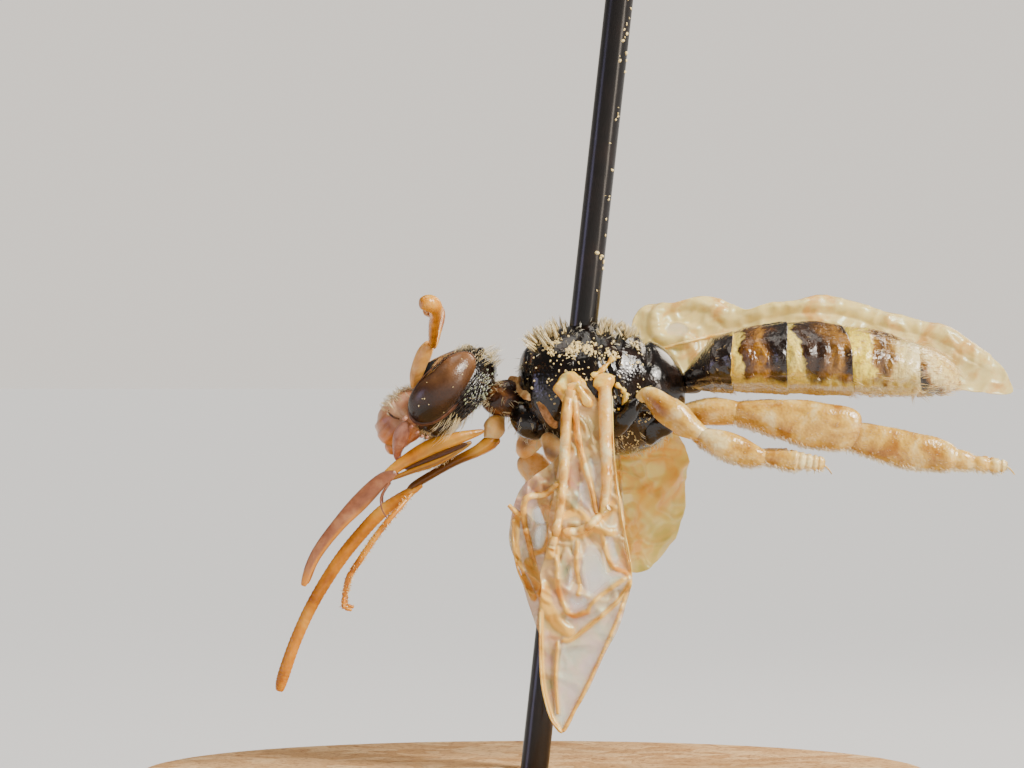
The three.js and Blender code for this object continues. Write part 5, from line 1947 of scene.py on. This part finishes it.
HIND = ([(0.95, 0.5, -0.72, 0.26, 0.22), (1.2, 0.62, -0.6, 0.2, 0.18), (1.45, 0.7, -0.5, 0.14, 0.13)],
    [(1.35, 0.66, -0.52, 0.14, 0.14), (1.65, 0.75, -0.42, 0.19, 0.17), (2.1, 0.82, -0.34, 0.22, 0.18),
    (2.66, 0.88, -0.38, 0.21, 0.17)], [(2.3, 0.87, -0.35, 0.19, 0.16), (2.8, 0.9, -0.4, 0.26, 0.18),
    (3.3, 0.92, -0.48, 0.32, 0.2), (3.82, 0.94, -0.57, 0.39, 0.22), (4.42, 0.95, -0.63, 0.44, 0.22)],
    [(4.2, 0.95, -0.7, 0.32, 0.16), (4.79, 0.95, -0.85, 0.31, 0.16), (5.44, 0.94, -1, 0.29, 0.15),
    (5.92, 0.93, -1.1, 0.19, 0.13), (6.32, 0.92, -1.17, 0.12, 0.1), (6.62, 0.9, -1.2, 0.13, 0.1),
    (6.76, 0.9, -1.2, 0.11, 0.08)])
FORE_HIP = [(-0.72, 0.36, -0.5, 0.2, 0.18), (-0.66, 0.5, -0.74, 0.16, 0.15)]
LEFT_FORE = (FORE_HIP, [(-0.62, 0.5, -0.72, 0.17, 0.16), (-0.4, 0.7, -1.02, 0.18, 0.16),
    (0.1, 0.82, -1.32, 0.14, 0.13)], [(0.02, 0.84, -1.34, 0.12, 0.11), (-0.4, 0.9, -1.42, 0.19, 0.14),
    (-0.8, 0.86, -1.6, 0.15, 0.12)], [(-0.72, 0.7, -1.62, 0.12, 0.1), (-0.5, 0.55, -2.1, 0.11, 0.09),
    (-0.3, 0.5, -2.5, 0.09, 0.08), (-0.2, 0.5, -2.75, 0.08, 0.07)])
RIGHT_FORE = (FORE_HIP, [(-0.66, 0.5, -0.7, 0.18, 0.17), (-0.85, 0.75, -0.86, 0.2, 0.17),
    (-1.02, 0.95, -1.04, 0.16, 0.14)], [(-0.98, 0.96, -1.06, 0.18, 0.14), (-0.75, 0.95, -1.32, 0.25, 0.17),
    (-0.45, 0.9, -1.6, 0.2, 0.14)], [(-0.45, 0.88, -1.6, 0.15, 0.1), (0, 0.8, -2.1, 0.12, 0.1),
    (0.2, 0.77, -2.4, 0.1, 0.08), (0.3, 0.75, -2.6, 0.08, 0.07)])
# the right fore leg's shank also takes the paler cream with painted light
LEGS = [Leg("mid", -1, *MID, brush=260), Leg("hind", -1, *HIND, brush=700), Leg("mid", 1, *MID, brush=260),
    Leg("hind", 1, *HIND, brush=700), Leg("fore", -1, *LEFT_FORE, BROWN_SHELL),
    Leg("fore", 1, *RIGHT_FORE, PAINTED_LIGHT_CREAM_SHELL)]


# ---- studio


@dataclass(frozen=True)
class Lamp:
    """A light that faces the bee: a far sun or a near soft square."""

    name: str
    way: tuple[float, float, float]  # where it stands from the bee
    power: float
    width: float  # how broad it is: in degrees for a sun
    tint: str
    near: bool = False  # whether it is a square

    def hang(self) -> None:
        """Places the light and turns it to the bee."""
        data = bpy.data.lights.new(self.name, "AREA" if self.near else "SUN")
        data.energy = self.power
        data.color = linear(self.tint)[:3]
        if self.near:
            data.size = self.width * MM
        else:
            data.angle = math.radians(self.width)
        made = linked(self.name, data)
        stand = np.array(self.way) * (1 if self.near else 100)
        made.location = (THORAX + (0.8, 0, -0.5) + stand) * MM
        back = unit(stand)
        made.rotation_euler = (math.acos(back[2]), 0, math.atan2(back[1], back[0]) + math.pi / 2)


@dataclass
class Studio:
    """The pale floor, the soft lamps and the camera."""

    away: float = 80.0  # the camera's distance
    width: float = 1024 / 62  # what its view takes in at the bee
    ahead: float = 1.145  # how far its middle is ahead of the thorax and over it
    over: float = 0.097

    def build(self) -> None:
        """Sets up everything that isn't the object."""
        deselect()
        bpy.ops.mesh.primitive_plane_add(size=20, location=(0, 0, BASE_LOW[2] * MM - 1e-5))
        floor = take("floor")
        floor.data.materials.append(Paint("studio_floor", rough=0.9).material())
        self.room()
        self.camera()
        for lamp in (Lamp("key", (0.66, -0.42, 0.62), 5, 32, "#fff8ec"),
                Lamp("spark", (0.58, -0.55, 0.6), 1.8, 8, "#fff6ea"),
                Lamp("top", (-0.2, 0.1, 1), 0.8, 40, "#fff8ee"), Lamp("fill", (-64, -20, 6), 0.005, 22,
                "#cfc8ff", True), Lamp("strip", (48, -36, 6), 0.006, 14, "#ffeeda", True),
                Lamp("rim", (40, 50, 40), 0.02, 30, "#fff2df", True)):
            lamp.hang()

    def room(self) -> None:
        """A room that is pale at eye level and dimmer above."""
        world = bpy.data.worlds.new("studio")
        bpy.context.scene.world = world
        world.use_nodes = True
        tree = world.node_tree
        way = add(tree, "TexCoord", {}, "Generated")
        height = add(tree, "SeparateXYZ", {"Vector": way}, "Z")
        tone = add(tree, "ValToRGB", {"Fac": add(tree, "Math", {0: height}, operation="ABSOLUTE")}, "Color",
            [(0, "#fff7ed"), (0.12, "#fff7ed"), (0.3, "#7a7876"), (1, "#8a8987")])
        tree.links.new(tone, tree.nodes["Background"].inputs["Color"])
        seen = add(tree, "LightPath", {}, "Is Camera Ray")
        power = add(tree, "MapRange", {"Value": seen, "To Min": 0.62, "To Max": 1.08})
        tree.links.new(power, tree.nodes["Background"].inputs["Strength"])

    def camera(self) -> None:
        """A level view along +Y, on the bee's left side."""
        data = bpy.data.cameras.new("camera")
        data.sensor_width = 36
        data.lens = 36 * self.away / self.width
        data.clip_start, data.clip_end = 0.002, 10
        made = linked("camera", data)
        made.location = (THORAX + np.array([-self.ahead, -self.away, self.over])) * MM
        made.rotation_euler = (math.pi / 2, 0, 0)
        bpy.context.scene.camera = made


# ---- the whole


def main() -> None:
    """Builds the specimen, its hair and the studio."""
    logging.basicConfig(level=logging.INFO, format="%(name)s: %(message)s")
    head, thorax, abdomen = Head(), Thorax(), Abdomen()
    for part in (Mount(), head, Tongue(), thorax, abdomen, *WINGS, *LEGS):
        part.build()
    coats = [*head.coats(), *Tongue().coats(), *thorax.coats(), *abdomen.coats()]
    coats.append(Coat("coat_legs", PALE_HAIR, [patch for leg in LEGS for patch in leg.patches()], "cream",
        51))
    for coat in coats:
        coat.grow()
    Studio().build()


if __name__ == "__main__":
    main()
